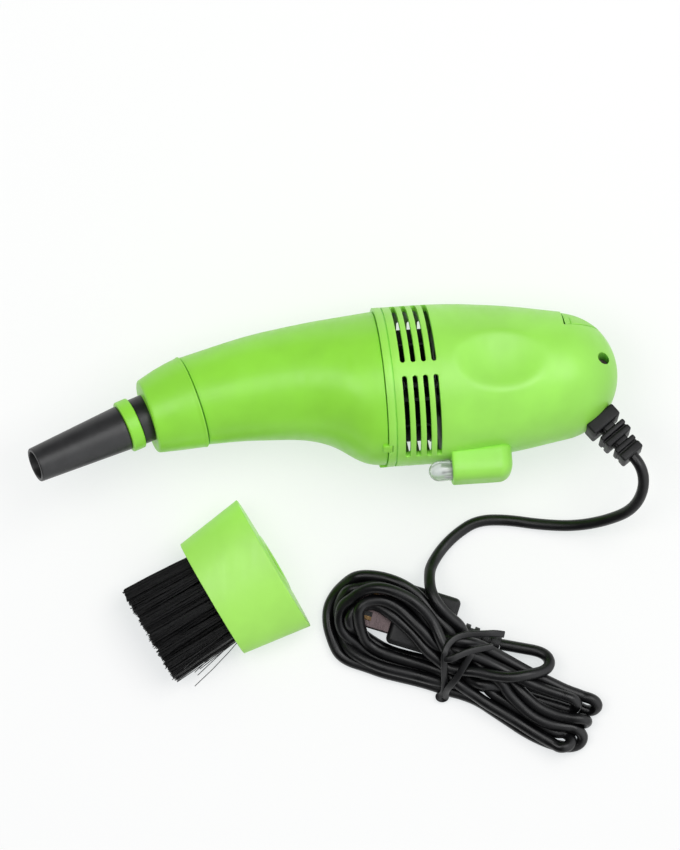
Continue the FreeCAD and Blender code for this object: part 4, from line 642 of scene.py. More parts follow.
def make_plug(colours):
    """Moulded grip and ribbed relief of the plug; its metal shell and tongue keep their CAD shapes."""
    material = soft_pvc("plug_moulding", colours.cord, 0.48)
    grip = rounded_block((GRIP_LENGTH / 2, GRIP_WIDTH / 2, GRIP_HEIGHT / 2), 1.5, 6)
    waist_at, waist_reach, waist_depth = 1.0, 4.0, 0.05
    waist = 1 - waist_depth * np.exp(-((grip[..., 0] - waist_at) / waist_reach) ** 2)
    grip = grip * np.stack([np.ones_like(waist), waist, np.ones_like(waist)], axis=-1)
    make_piece("plug_grip_block", [grid(grip, wrap=True)], PLUG, "housing", material,
               ("plug_grip",))
    root, end = GRIP_LENGTH / 2, GRIP_LENGTH / 2 + PLUG_RELIEF_LENGTH
    profile = [(root - 1.0, 0.0)]
    for number in range(RIBS):
        start, radius = root + 0.5 + number * RIB_STEP, RIB_R - number * RIB_TAPER
        profile += [(start, RIB_FLOOR), (start, radius), (start + RIB_WIDTH, radius - 0.08),
                    (start + RIB_WIDTH, RIB_FLOOR)]
    profile += [(end, RIB_FLOOR - 0.1), (end, 0.0)]
    relief = turned(softened(profile, 0.2, 3), (0, 0, 0), X, 48)
    make_piece("plug_relief_ribs", [grid(relief, wrap=True)], PLUG, "housing", material,
               ("plug_relief",))


# ---- motor housing -------------------------------------------------------------------
def housing_radius(x):
    """Radius of the housing: a spline through the drum and tapers, then the ball of the tail."""
    start, end = HOUSING_KNOTS[0, 0], HOUSING_KNOTS[-1, 0]
    taper = through(*HOUSING_KNOTS.T, np.clip(x, start, end).ravel()).reshape(x.shape)
    ball = np.sqrt(np.maximum(TAIL_BALL_R ** 2 - (x - TAIL_X + TAIL_BALL_R) ** 2, 0))
    return np.where(x < end, taper, ball)


def well_angle(x, floor):
    """Angle above the side at which the housing reaches a level floor, 90 where it stays below."""
    return np.degrees(np.arcsin(np.minimum(floor / np.maximum(housing_radius(x), 1e-6), 1.0)))


def housing_stations(slot_half):
    """Places along the shaft: rim, groove, the sides and round ends of each vent, dish, well and ball."""
    across_vent = np.array((-1, -0.93, -0.74, -0.4, 0, 0.4, 0.74, 0.93, 1))
    vents = (SLOT_CENTRES[:, None] + slot_half * across_vent).ravel()
    rim = (RIM_FRONT, RIM_NOTCH, *(JOINT_X + np.array((-0.2, -0.17, 0.17, 0.2))), 0.2)
    ball_x = TAIL_X - TAIL_BALL_R
    ball = np.append(np.radians(np.linspace(9.9, 90, 44)), math.asin((WELL_END - ball_x) / TAIL_BALL_R))
    tail = ball_x + TAIL_BALL_R * np.sin(np.sort(ball))
    tail[0] = WELL_X
    return np.concatenate([rim, vents, np.linspace(11.6, 45.0, 50), tail])


def housing_rows():
    """Angles round the shaft from the lamp side to the switch side, with one at each edge of an opening."""
    edges = np.array([*SLOT_ENDS[0], *SLOT_ENDS[1], LUG_ANGLE - 90 - LUG_HALF, LUG_ANGLE - 90 + LUG_HALF,
                      float(well_angle(np.array(WELL_X), WELL_FLOOR))])
    even = np.linspace(-90, 90, 109)
    even = even[np.abs(even[:, None] - edges).min(axis=1) > 0.7]
    return np.sort(np.concatenate([even, edges]))


def dish_radius(x, angle, side_z):
    """Distance from the shaft to the ball that presses the finger dish, along each ray that meets it."""
    along = DISH_Y * np.sin(angle) + side_z * np.cos(angle)
    square = along ** 2 - (DISH_Y ** 2 + side_z ** 2 + (x - DISH_X) ** 2 - DISH_R ** 2)
    return np.where(square > 0, along - np.sqrt(np.maximum(square, 0)), 99.0)


def housing_half(slot_half, dish_floor):
    """Left half shell: radius over angle and station, less the dish, warped so that rows follow each opening.

    Rows near a vent's end are shifted by radius - sqrt(radius^2 - d^2) to round it; rows in the tail are
    scaled so that one follows the floor of the switch well.
    """
    stations, rows = housing_stations(slot_half), housing_rows()
    x, angle = np.meshgrid(stations, rows)
    offset = np.abs(stations[:, None] - SLOT_CENTRES).min(axis=1)
    in_vent = offset <= slot_half + 1e-6
    sag = np.where(in_vent, slot_half - np.sqrt(np.maximum(slot_half ** 2 - offset ** 2, 0)), 0.0)
    sag = np.degrees(sag / HOUSING_KNOTS[0, 1])
    for low, high in SLOT_ENDS:
        angle = angle + sag * np.maximum(0, 1 - np.abs(angle - low) / 4)
        angle = angle - sag * np.maximum(0, 1 - np.abs(angle - high) / 4)
    edge, level = well_angle(np.array(WELL_X), WELL_FLOOR), well_angle(x, WELL_FLOOR)
    below = (angle + 90) * (level + 90) / (edge + 90) - 90
    above = level + (angle - edge) * (90 - level) / (90 - edge)
    angle = np.radians(np.where(x >= WELL_X, np.where(angle <= edge, below, above), angle))
    groove_half, groove_depth, dish_soft = 0.18, 0.45, 1.1
    groove = np.where(np.abs(x - JOINT_X) < groove_half, groove_depth, 0.0)
    radius, dish = housing_radius(x) - groove, dish_radius(x, angle, dish_floor + DISH_R)
    near = np.maximum(dish_soft - np.abs(radius - dish), 0)
    radius = np.minimum(radius, dish) - near ** 2 / (4 * dish_soft)
    height = radius * np.sin(angle)
    fade = np.clip((20.0 - x) / 6.0, 0, 1)
    lean = height * math.tan(math.radians(JOINT_DROOP)) * fade ** 2 * (3 - 2 * fade)
    points = np.stack([x - lean, height, radius * np.cos(angle)], axis=-1)
    row_mid, x_mid = (rows[:-1] + rows[1:])[:, None] / 2, (stations[:-1] + stations[1:])[None] / 2
    vent = (np.abs(x_mid[..., None] - SLOT_CENTRES) < slot_half).any(axis=-1)
    open_rows = sum(((row_mid > low) & (row_mid < high)) for low, high in SLOT_ENDS) > 0
    well = (x_mid > WELL_X) & (row_mid > edge) & (x_mid < WELL_END)
    notch = (x_mid < RIM_NOTCH) & (np.abs(row_mid - LUG_ANGLE + 90) < LUG_HALF)
    return points, ~((vent & open_rows) | well | notch)


def screw_boss():
    """Tube round the screw, from its seat up into the shell: the top follows the outside less half a wall."""
    angle = np.linspace(0, 2 * math.pi, 40, endpoint=False)
    bore, outside, sunk, foot = SCREW_HOLE_R + 0.02, 3.4, 0.9, 0.4
    rings = []
    for radius, top in ((bore, 0), (bore, 1), (outside, 1), (outside, 0), (bore, 0)):
        x, y = SCREW_AT[0] + radius * np.cos(angle), SCREW_AT[1] + radius * np.sin(angle)
        surface = np.sqrt(np.maximum(housing_radius(x) ** 2 - y ** 2, 0)) - sunk
        rings.append(np.stack([x, y, np.where(top, np.maximum(surface, foot + 0.2), foot)], axis=-1))
    return np.stack(rings)


def make_housing(sizes, colours):
    """Left and right shells, and the spigot that the dust cup slips over."""
    # The housing green is paler and less saturated than the cup green: painted sheen on the shells, rocker
    # and lamp pod.
    material = moulded_abs("moulded_green_abs_housing", colours.housing_green)
    half, keep = housing_half(sizes.vent_width / MM / 2, sizes.dish_floor / MM)
    hole = turned([(SCREW_SEAT, 0.0), (SCREW_SEAT, SCREW_HOLE_R), (20.0, SCREW_HOLE_R), (20.0, 0.0)],
                  (*SCREW_AT, 0.0), Z, 40)
    wall = sizes.housing_wall / MM
    make_piece("housing_left_shell", [grid(half, keep=keep)], VACUUM, "housing",
               material, ("housing_left",), wall, 0.2, (20.0, 0, 0), grid(hole, wrap=True))
    make_piece("housing_right_shell", [grid(half * (1, 1, -1), keep=keep)], VACUUM, "housing",
               material, ("housing_right",), wall, 0.2, (20.0, 0, 0))
    make_piece("screw_boss", [grid(screw_boss(), wrap=True)], VACUUM, "housing", material)
    ring = softened([(-9.0, 17.3), (-9.0, 18.6), (-2.9, 18.6), (-2.9, 19.35), (-1.4, 19.35), (-1.4, 17.3)],
                    0.25, 3, closed=True)
    spigot = turned(ring - (JOINT_X, 0), (0, 0, 0), X, 96) @ turn(2, JOINT_DROOP).T + (JOINT_X, 0, 0)
    make_piece("housing_spigot", [grid(spigot, wrap=True)], VACUUM, "housing", material)


def make_rocker(sizes, colours):
    """Rocker switch: the cap of the tail above its floor, with a flat front, tipped about its pivot."""
    ball_x = TAIL_X - TAIL_BALL_R
    first, last = math.asin((ROCKER_X - ball_x) / TAIL_BALL_R), math.acos(ROCKER_FLOOR / TAIL_BALL_R)
    stations = ball_x + TAIL_BALL_R * np.sin(np.linspace(first, last, 34))
    level = np.radians(well_angle(stations, ROCKER_FLOOR))
    share = np.linspace(0, 1, 49)[:, None]
    angle = level + (math.pi - 2 * level) * share
    radius = housing_radius(stations)
    cap = np.stack([np.broadcast_to(stations, angle.shape), radius * np.sin(angle),
                    radius * np.cos(angle)], axis=-1)
    drop = np.linspace(1, 0, 9)[None, :-1]
    height = cap[:, :1, 1] + (ROCKER_FLOOR - cap[:, :1, 1]) * drop
    front = np.stack([np.full(height.shape, ROCKER_X), height,
                      np.broadcast_to(cap[:, :1, 2], height.shape)], axis=-1)
    points = np.concatenate([front, cap], axis=1)
    points = (points - ROCKER_PIVOT) @ turn(2, ROCKER_TILT).T + ROCKER_PIVOT
    # The rocker is the housing green made 5 % darker: painted shade of the tipped cap, sunk at its front.
    material = moulded_abs("moulded_green_abs_rocker", shade(colours.housing_green, 0.95), 0.42)
    make_piece("rocker_cap", [grid(points)], VACUUM, "rocker", material, ("switch_rocker",),
               sizes.housing_wall / MM, 0.3, (50.0, 11.5, 0))


# ---- dust cup, nose and nozzle ---------------------------------------------------------
def make_cup(sizes, colours):
    """Dust cup: ovals on a spline through its sections, and two lugs at the rear edge."""
    angle = np.linspace(0, 2 * math.pi, 120, endpoint=False)
    share = np.linspace(0, len(CUP_SECTIONS) - 1, 71)
    shell = oval(CUP_SECTIONS, share, np.zeros(len(share)), angle)
    material = moulded_abs("moulded_green_abs", colours.green)
    make_piece("dust_cup_shell", [grid(shell, wrap=True)], VACUUM, "cup", material,
               ("dust_cup",), sizes.cup_wall / MM, 0.25, (-30.0, 1.0, 0))
    lugs = []
    for side in (1, -1):
        lug = (rounded_block((1.25, 0.85, 1.3), 0.3) + (-3.45, -20.1, 0)) @ turn(0, -side * LUG_ANGLE).T
        lug = (lug - (JOINT_X, 0, 0)) @ turn(2, JOINT_DROOP).T + (JOINT_X, 0, 0)
        lugs.append(grid(lug, wrap=True))
    make_piece("cup_lugs", lugs, VACUUM, "cup", material)


def make_nose(colours):
    """Nose: ovals from the ring in the cup over lip and body, a soft front edge, then a round hole."""
    angle = np.linspace(0, 2 * math.pi, 120, endpoint=False)
    soft, last_span, hole_radius, hole_depth, hole_flare = 0.65, 6.6, 4.6, 1.6, 1.9
    round_in = np.sin(np.radians(np.linspace(0, 90, 7)))
    front_share = 2 - (1 - round_in) * soft / last_span
    front_grow = -soft * (1 - np.sqrt(np.maximum(1 - round_in ** 2, 0)))
    # the ring in the cup and the lip, then the body, then the soft edge
    lip_share = (-0.45, -0.45, 0.0, 0.0, 0.0, 0.02, 0.07, 0.1)
    lip_grow = (-3.6, -2.3, -2.3, -0.3, 0.02, 0.1, 0.1, 0.0)
    share = np.concatenate([lip_share, np.linspace(0.2, 1.86, 20), front_share])
    grow = np.concatenate([lip_grow, np.zeros(20), front_grow])
    body = oval(NOSE_SECTIONS, share, grow, angle)
    ring = turned([(0.05, hole_radius)], AXIS_START, AXIS, 120)[0]
    flip = ring[np.argsort((np.arctan2(ring[:, 1] - AXIS_START[1], ring[:, 2])) % (2 * math.pi))]
    rest = body[-1] + (flip - body[-1]) * np.array((0.35, 0.75, 1.0))[:, None, None]
    back = AXIS * hole_depth
    inward = np.stack([flip - back, (flip - AXIS_START) * hole_flare + AXIS_START - back])
    points = np.concatenate([body, rest, inward])
    throat = oval(NOSE_SECTIONS, np.array((1.7, 0.4, -0.45)), np.array((-1.7, -1.8, -3.6)), angle)
    points = np.concatenate([points, throat])
    make_piece("nose_shell", [grid(points, wrap=True)], VACUUM, "cup",
               moulded_abs("moulded_green_abs", colours.green), ("nose_cone",))


def make_nozzle(colours):
    """Black stepped spigot, green collar and the tapered rubber nozzle with its slanted mouth."""
    spigot = softened([(-3.2, 3.6), (-3.2, 4.5), (-0.4, 4.5), (-0.4, 6.2), (3.4, 6.2), (3.4, 5.2), (6.4, 5.2),
                       (6.4, 3.6)], 0.25, 4, closed=True)
    make_piece("spigot_ring", [grid(turned(spigot, AXIS_START, AXIS, 72), wrap=True)], VACUUM, "cup",
               moulded_abs("moulded_black_abs", colours.black, 0.4), ("nose_spigot",))
    gap, neck = 0.05, 5.0
    start, end, floor = STEP_LENGTH + gap, STEP_LENGTH + COLLAR_WIDTH, STEP_LENGTH + 3.1
    collar = softened([(start, 5.25), (start, 6.9), (end, 6.9), (end, 4.85), (end + neck, 4.85),
                       (end + neck, 3.9), (floor, 3.9), (floor, 5.25)], 0.45, 5, closed=True)
    make_piece("collar_ring", [grid(turned(collar, AXIS_START, AXIS, 72), wrap=True)], VACUUM, "collar",
               moulded_abs("moulded_green_abs", colours.green), ("nozzle_collar",))
    start, seat = end + gap, end + gap + 5.3
    tip, base_radius, tip_radius = start + NOZZLE_LENGTH, 6.0, 4.6
    profile = softened([(start, 4.9), (start, base_radius), (tip, tip_radius), (tip, 3.65), (seat, 4.4),
                        (seat, 4.9)], 0.35, 4, closed=True)
    along = np.linspace(0.06, 0.97, 14)[:, None]
    side = np.array((start, base_radius)) + np.array((tip - start, tip_radius - base_radius)) * along
    place = np.searchsorted(profile[:8, 0], start + 0.8)
    profile = np.vstack([profile[:place], side, profile[place:]])
    nozzle = turned(profile, AXIS_START, AXIS, 72)
    slant_reach = 4.0
    past = np.clip((profile[:, 0] - tip + slant_reach) / slant_reach, 0, 1)[:, None, None]
    nozzle = nozzle - AXIS * nozzle[..., 2:] * math.tan(math.radians(MOUTH_BEVEL)) * past
    make_piece("nozzle_tube", [grid(nozzle, wrap=True)], VACUUM, "nozzle",
               nozzle_rubber(colours.rubber), ("rubber_nozzle",))


# ---- lamp ----------------------------------------------------------------------------
def make_lamp(colours):
    """Lamp pod: a keel shape drawn in towards the rear, a flat front with a socket, and the clear lamp."""
    arc = np.radians(np.linspace(90, 4, 16))
    x = np.concatenate([POD_REAR - POD_ROUND * (1 - np.sin(arc)),
                        np.linspace(POD_REAR - 4.2, POD_FRONT + 0.7, 12),
                        POD_FRONT + np.array((0.3, 0.1, 0.0))])
    inset = np.concatenate([POD_ROUND * (1 - np.cos(arc)), np.zeros(12), (0.1, 0.28, 0.5)])
    angle = np.linspace(0, 2 * math.pi, 96, endpoint=False)
    # a superellipse whose lower half reaches down to the keel and whose upper half reaches into the shell
    size = (np.abs(np.cos(angle)) ** POD_POWER + np.abs(np.sin(angle)) ** POD_POWER) ** (-1 / POD_POWER)
    half = np.maximum(POD_HALF - inset, 0.05)[:, None]
    low = np.maximum(POD_WAIST - POD_BOTTOM - inset * 1.1, 0.05)[:, None]
    top = -np.sqrt((housing_radius(x) - 0.8) ** 2 - POD_HALF ** 2)[:, None]
    rise = np.sin(angle) * size
    y = POD_WAIST + np.where(rise < 0, rise * low, rise * (top - POD_WAIST))
    body = np.stack([np.broadcast_to(x[:, None], y.shape), y, half * np.cos(angle) * size], axis=-1)
    circle = np.stack([np.zeros_like(angle), np.sin(angle), np.cos(angle)], axis=-1)
    mouth = np.array((POD_FRONT, LAMP_Y, 0.0)) + circle * LAMP_HOLE_R
    socket = np.stack([mouth + circle * 0.25, mouth + X * 0.25, mouth + X * 4.6])
    shell = ends_closed(np.concatenate([body, socket]))
    make_piece("lamp_pod_shell", [grid(shell, wrap=True)], VACUUM, "housing",
               # The pod takes the paler housing green: painted sheen.
               moulded_abs("moulded_green_abs_housing", colours.housing_green), ("lamp_pod",))
    dome = np.radians(np.linspace(0, 90, 12))
    front, back = POD_FRONT - LAMP_PROUD, POD_FRONT + 4.0
    profile = np.stack([front + LAMP_R - LAMP_R * np.cos(dome), LAMP_R * np.sin(dome)], axis=-1)
    barrel = softened([(POD_FRONT - 0.7, LAMP_R), (back, LAMP_R), (back, 0.0)], 0.2)
    profile = np.vstack([profile, barrel])
    make_piece("lamp_lens", [grid(turned(profile, (0, LAMP_Y, 0), X, 48), wrap=True)], VACUUM, "housing",
               clear_epoxy(colours.lamp), ("lamp_led",))
    cup = softened([(-2.5, 0.35), (-2.7, 0.95), (-1.5, 0.8), (3.1, 0.5), (3.1, 0.0), (-2.2, 0.0),
                    (-2.5, 0.35)], 0.1)
    post = softened([(-2.1, 0.0), (-2.1, 0.42), (3.1, 0.42), (3.1, 0.0)], 0.1)
    patches = [grid(turned(cup, (POD_FRONT, LAMP_Y + 0.35, 0), X, 24), wrap=True),
               grid(turned(post, (POD_FRONT, LAMP_Y - 1.15, 0), X, 16), wrap=True)]
    make_piece("lamp_frame", patches, VACUUM, "housing",
               plated_steel("tinned_lead_frame", colours.steel, 0.3, (1.0, 1.0, 1.0)))


# ---- brush head ------------------------------------------------------------------------
def brush_oval(depth, grow, angle):
    """Oval of the brush head at a depth: the half axes go straight from the front's to the back's."""
    depth, grow = np.asarray(depth, float)[:, None], np.asarray(grow, float)[:, None]
    half = BRUSH_FRONT + (BRUSH_BACK - BRUSH_FRONT) * depth[..., None] / BRUSH_DEPTH + grow[..., None]
    points = np.zeros((len(depth), len(angle), 3))
    points[..., 0] = depth
    points[..., 1], points[..., 2] = half[..., 0] * np.cos(angle), half[..., 1] * np.sin(angle)
    return points


def brush_ring(depth, radius, angle):
    """Round rings of the socket."""
    depth, radius = np.asarray(depth, float)[:, None], np.asarray(radius, float)[:, None]
    return np.stack([np.broadcast_to(depth, (len(depth), len(angle))), radius * np.cos(angle),
                     radius * np.sin(angle)], axis=-1)


def make_brush(colours):
    """Oval head in one ring: outer wall, soft back edge, boss, socket, inner tube, inner wall, front rim."""
    angle = np.linspace(0, 2 * math.pi, 120, endpoint=False)
    arc = np.radians(np.linspace(0, 90, 6))
    outer = brush_oval(np.concatenate([(0.0, 0.12), np.linspace(0.5, BRUSH_DEPTH - 0.6, 16),
                                       BRUSH_DEPTH - 0.3 + 0.3 * np.sin(arc)]),
                       np.concatenate([(-0.25, 0.0), np.zeros(16), 0.3 * (np.cos(arc) - 1)]), angle)
    boss_top = BRUSH_DEPTH + SOCKET_PROUD
    boss = brush_ring((BRUSH_DEPTH, BRUSH_DEPTH + 0.08, boss_top - 0.3, boss_top, boss_top, boss_top - 0.35),
                      (BOSS_R + 0.15, BOSS_R, BOSS_R - 0.1, BOSS_R - 0.5, SOCKET_R + 0.35, SOCKET_R), angle)
    tube_end = boss_top - SOCKET_LENGTH
    tube_r = SOCKET_R + BRUSH_WALL
    tube = brush_ring((tube_end, tube_end, BRUSH_DEPTH - BRUSH_BACK_WALL), (SOCKET_R, tube_r, tube_r), angle)
    inner = brush_oval(np.concatenate([BRUSH_DEPTH - BRUSH_BACK_WALL - np.array((0.0, 1.0)),
                                       np.linspace(BRUSH_DEPTH - BRUSH_BACK_WALL - 1.6, 0.4, 10),
                                       (0.12, 0.0)]),
                       np.concatenate([(-2.6,), np.full(12, -BRUSH_WALL), (-1.25,)]), angle)
    points = np.concatenate([outer, boss, tube, inner])
    points = np.concatenate([points, points[:1]])
    make_piece("brush_head_shell", [grid(points, wrap=True)], BRUSH, "brush",
               moulded_abs("moulded_green_abs_brush", colours.brush_green), ("brush_housing",))


def make_bristles(sizes, colours):
    """Tufts of nylon filaments: each a thin four-sided rod, slightly bowed, from its hole to the cut tips."""
    shuffle = np.random.default_rng(11)
    tufts, per_tuft, rows = 36, 60, 4
    outer_ring, inner_ring, splay = (11.8, 5.1), (10.2, 3.4), (1.08, 1.04)
    hole_radius, tip_radius, tip_scatter, bow_scatter = 0.85, 1.2, 0.3, 0.35
    hole_depth, filament, length_scatter, calm_share = 3.0, 21.8, 0.35, 0.994
    angle = 2 * math.pi * (np.arange(tufts) + 0.5) / tufts
    ring = np.where(np.arange(tufts)[:, None] % 2, outer_ring, inner_ring)
    middle = np.stack([np.cos(angle), np.sin(angle)], axis=-1) * ring
    count = tufts * per_tuft
    turn_by, reach = shuffle.uniform(0, 2 * math.pi, count), np.sqrt(shuffle.uniform(0, 1, count))
    disc = np.stack([np.cos(turn_by), np.sin(turn_by)], axis=-1) * reach[:, None]
    root = np.repeat(middle, per_tuft, axis=0) + disc * hole_radius
    tip = np.repeat(middle * splay, per_tuft, axis=0) + disc * tip_radius
    tip = tip + shuffle.normal(0, tip_scatter, (count, 2))
    stray = shuffle.uniform(0, 1, count) > calm_share
    tip = tip + stray[:, None] * shuffle.uniform((-4.2, -1.0), (0.6, 1.0), (count, 2))
    share = np.linspace(0, 1, rows)[None, :, None]
    bow = shuffle.normal(0, bow_scatter, (count, 1, 2)) * share * (1 - share) * 2
    line = root[:, None] + (tip - root)[:, None] * share + bow
    reach_out = filament + shuffle.normal(0, length_scatter, (count, 1))
    reach_out = reach_out - stray[:, None] * shuffle.uniform(1, 7, (count, 1))
    depth = hole_depth - reach_out * share[..., 0]
    line = np.concatenate([depth[..., None], line], axis=-1)
    around = np.arange(4) * math.pi / 2 + 0.4
    cross = np.stack([np.zeros(4), np.cos(around), np.sin(around)], axis=-1) * sizes.bristle_diameter / MM / 2
    rods = line[:, :, None] + cross
    rods = np.concatenate([rods, np.broadcast_to(line[:, -1:, None], (count, 1, 4, 3))], axis=1)
    _, quads = grid(rods[0], wrap=True)
    quads = quads[None] + (np.arange(count) * (rows + 1) * 4)[:, None, None]
    make_piece("brush_bristles", [(rods.reshape(-1, 3), quads.reshape(-1, 4))], BRUSH, "brush",
               nylon_bristle(colours.bristle), ("brush_tufts",))


# ---- what keeps its CAD shape ------------------------------------------------------------
def dress_inside(colours):
    """Materials of the fan, motor, filter, switch and plug metal, which keep their CAD shapes."""
    black = moulded_abs("moulded_black_abs", colours.black, 0.4)
    white = moulded_abs("moulded_white_abs", colours.white, 0.34)
    can = plated_steel("drawn_motor_can", colours.steel, 0.38, (0.15, 1.0, 1.0))
    shell = plated_steel("plated_plug_shell", colours.shell, 0.3, (1.0, 0.2, 1.0))
    finishes = {"fan_inlet_plate": black, "motor_mount": black, "filter_frame": black, "switch_body": black,
                "brush_plate": moulded_abs("moulded_green_abs_brush", colours.brush_green),
                # The fan takes the black plastic as painted shade: it keeps the inside seen through the vents
                # dark.
                "impeller": black, "motor_end_cap": white, "plug_tongue": black, "motor_shaft": can,
                "motor_can": can, "housing_screw": shell, "plug_shell": shell,
                "circuit_board": circuit_board(colours.board), "filter_cloth": filter_felt(colours.felt),
                "motor_wires": wire_jacket(colours.wire), "plug_contacts": gold_plate(colours.gold)}
    for name, material in finishes.items():
        NODES[name].data.materials.clear()
        NODES[name].data.materials.append(material)


# ---- stage -------------------------------------------------------------------------------
def make_camera():
    """Camera straight above the set, far off with a long lens: lens = sensor * height / view."""
    height, sensor, view, middle = 4.0, 36.0, 0.2237, (0.0013, 0.0180)
    lens = bpy.data.cameras.new("camera")
    lens.sensor_width, lens.lens = sensor, sensor * height / view
    lens.clip_end = 50.0
    camera = bpy.data.objects.new("camera", lens)
    camera.location = (*middle, height)
    bpy.context.scene.collection.objects.link(camera)
    bpy.context.scene.camera = camera


def make_soft_box(name, place, size, power):
    """Square soft lamp that looks at the middle of the table."""
    lamp = bpy.data.lights.new(name, "AREA")
    lamp.shape, lamp.size, lamp.energy = "SQUARE", size, power
    soft_box = bpy.data.objects.new(name, lamp)
    soft_box.location = place
    soft_box.rotation_euler = (-Vector(place)).to_track_quat("-Z", "Y").to_euler()
    soft_box.visible_camera = False
    bpy.context.scene.collection.objects.link(soft_box)


def make_lights(power, world_strength):
    """A soft lamp high on the left, a larger one on the right, and an even world whose mirror image is dim
    but for a bright wall on the right."""
    make_soft_box("soft_box_left", place=(-0.28, 0.05, 0.85), size=0.45, power=power * 0.6)
    make_soft_box("soft_box_right", place=(0.32, 0.22, 0.8), size=0.6, power=power)
    wall, wall_glow, dim = (0.92, -0.2, 0.34), 1.7, 0.3
    world = bpy.data.worlds.new("studio")
    world.use_nodes = True
    bpy.context.scene.world = world
    tree = world.node_tree
    tree.nodes.clear()
    rays = add(tree, "ShaderNodeLightPath")
    way = add(tree, "ShaderNodeTexCoord").outputs["Generated"]
    facing = add(tree, "ShaderNodeVectorMath", {0: way, 1: wall}, operation="DOT_PRODUCT").outputs["Value"]
    mirrored = ramp(tree, facing, 0.25, 0.9, world_strength * dim, wall_glow)
    strength = add(tree, "ShaderNodeMix", {0: rays.outputs["Is Glossy Ray"], 2: world_strength,
                                           3: mirrored}).outputs[0]
    light = add(tree, "ShaderNodeBackground", {"Color": (0.97, 0.985, 1.0, 1.0), "Strength": strength})
    seen = add(tree, "ShaderNodeBackground", {"Color": (1.0, 1.0, 1.0, 1.0), "Strength": 1.0})
    mix = add(tree, "ShaderNodeMixShader", {0: rays.outputs["Is Camera Ray"], 1: light.outputs[0],
                                            2: seen.outputs[0]})
    add(tree, "ShaderNodeOutputWorld", {"Surface": mix.outputs[0]})


def make_floor(stage):
    """Pale floor that keeps the shadows."""
    reach = 1.5
    mesh = bpy.data.meshes.new("floor")
    corners = [(-reach, -reach, 0.0), (reach, -reach, 0.0), (reach, reach, 0.0), (-reach, reach, 0.0)]
    mesh.from_pydata(corners, [], [(0, 1, 2, 3)])
    floor = bpy.data.objects.new("floor", mesh)
    bpy.context.scene.collection.objects.link(floor)
    mesh.materials.append(paper_floor(stage.floor_colour, stage.floor_lift))


# ---- the add-on --------------------------------------------------------------------------
def length(name, description, default_mm):
    """A size in metres that shows with its unit."""
    return bpy.props.FloatProperty(name=name, description=description, default=default_mm * MM, min=0.0,
                                   precision=5, unit="LENGTH", subtype="DISTANCE")


def colour(name, description, code):
    """A linear colour from its sRGB hex code."""
    return bpy.props.FloatVectorProperty(name=name, description=description, default=linear(code), size=3,
                                         min=0.0, max=1.0, subtype="COLOR")


class VacuumSizes(bpy.types.PropertyGroup):
    """Sizes that a maker would change"""
    housing_wall: length("Housing wall", "Thickness of the housing shells", 1.6)
    vent_width: length("Vent width", "Width of each cooling slot", 1.35)
    dish_floor: length("Dish floor", "Distance from the shaft to the bottom of the finger dish", 16.75)
    cup_wall: length("Cup wall", "Thickness of the dust cup", 1.4)
    cord_diameter: length("Cord diameter", "Diameter of the USB cord", 3.0)
    cord_length: length("Cord length", "Length of the cord between its two reliefs", 950.0)
    tie_width: length("Tie width", "Width of the flat tie", 1.8)
    bristle_diameter: length("Bristle diameter", "Diameter of one nylon filament", 0.24)


class VacuumColours(bpy.types.PropertyGroup):
    """Colours of the finishes"""
    green: colour("Cup green", "Plastic of the dust cup, nose and nozzle collar", "#91e03c")
    # Housing green is paler than the cup green: painted sheen on the housing, rocker and lamp pod.
    housing_green: colour("Housing green", "Plastic of the motor housing, rocker and lamp pod", "#9de856")
    brush_green: colour("Brush green", "Brush head plastic", "#a9eb62")
    # On the fan this black is painted shade inside the housing; the spigot, filter frame and switch are black
    # plastic.
    black: colour("Black", "Black plastic of the spigot, fan, filter frame and switch", "#0f1211")
    rubber: colour("Rubber", "Rubber nozzle", "#262627")
    cord: colour("Cord", "Cord, plug and tie", "#08080a")
    bristle: colour("Bristle", "Nylon filaments", "#0d0d0e")
    white: colour("White", "Motor end cap", "#e9ebe8")
    lamp: colour("Lamp", "Clear epoxy", "#f1f4f5")
    steel: colour("Steel", "Motor can, shaft and lamp frame", "#c9c8c6")
    shell: colour("Plug shell", "Dark plating of the plug shell and the screw", "#5a4f50")
    board: colour("Board", "Circuit board", "#a3763f")
    felt: colour("Felt", "Filter cloth", "#eeeeea")
    wire: colour("Wire", "Motor wires", "#b3261e")
    gold: colour("Gold", "Contacts of the plug", "#7d6546")


class VacuumStage(bpy.types.PropertyGroup):
    """Floor and light"""
    floor_colour: colour("Floor", "Colour of the floor", "#afaaa7")
    floor_lift: bpy.props.FloatProperty(name="Floor lift", description="Glow that brings the floor to white",
                                        default=0.6, min=0.0, max=1.0)
    lamp_power: bpy.props.FloatProperty(name="Lamp power", description="Power of the right soft box",
                                        default=3.3, min=0.0, unit="POWER")
    world_strength: bpy.props.FloatProperty(name="World strength", description="Even light from all round",
                                            default=0.44, min=0.0)


class VACUUM_OT_stage(bpy.types.Operator):
    """Camera, lights and floor"""
    bl_idname = "vacuum.stage"
    bl_label = "Stage"

    def execute(self, context):
        stage = context.scene.vacuum_stage
        context.scene.view_settings.view_transform = "Standard"
        make_camera()
        make_lights(stage.lamp_power, stage.world_strength)
        make_floor(stage)
        return {"FINISHED"}


class VACUUM_OT_cord(bpy.types.Operator):
    """USB cord with its strain relief, plug and tie"""
    bl_idname = "vacuum.cord"
    bl_label = "Cord"

    def execute(self, context):
        sizes, colours = context.scene.vacuum_sizes, context.scene.vacuum_colours
        make_cord(sizes, colours)
        make_strain_relief(colours)
        make_plug(colours)
        make_tie(sizes, colours)
        return {"FINISHED"}


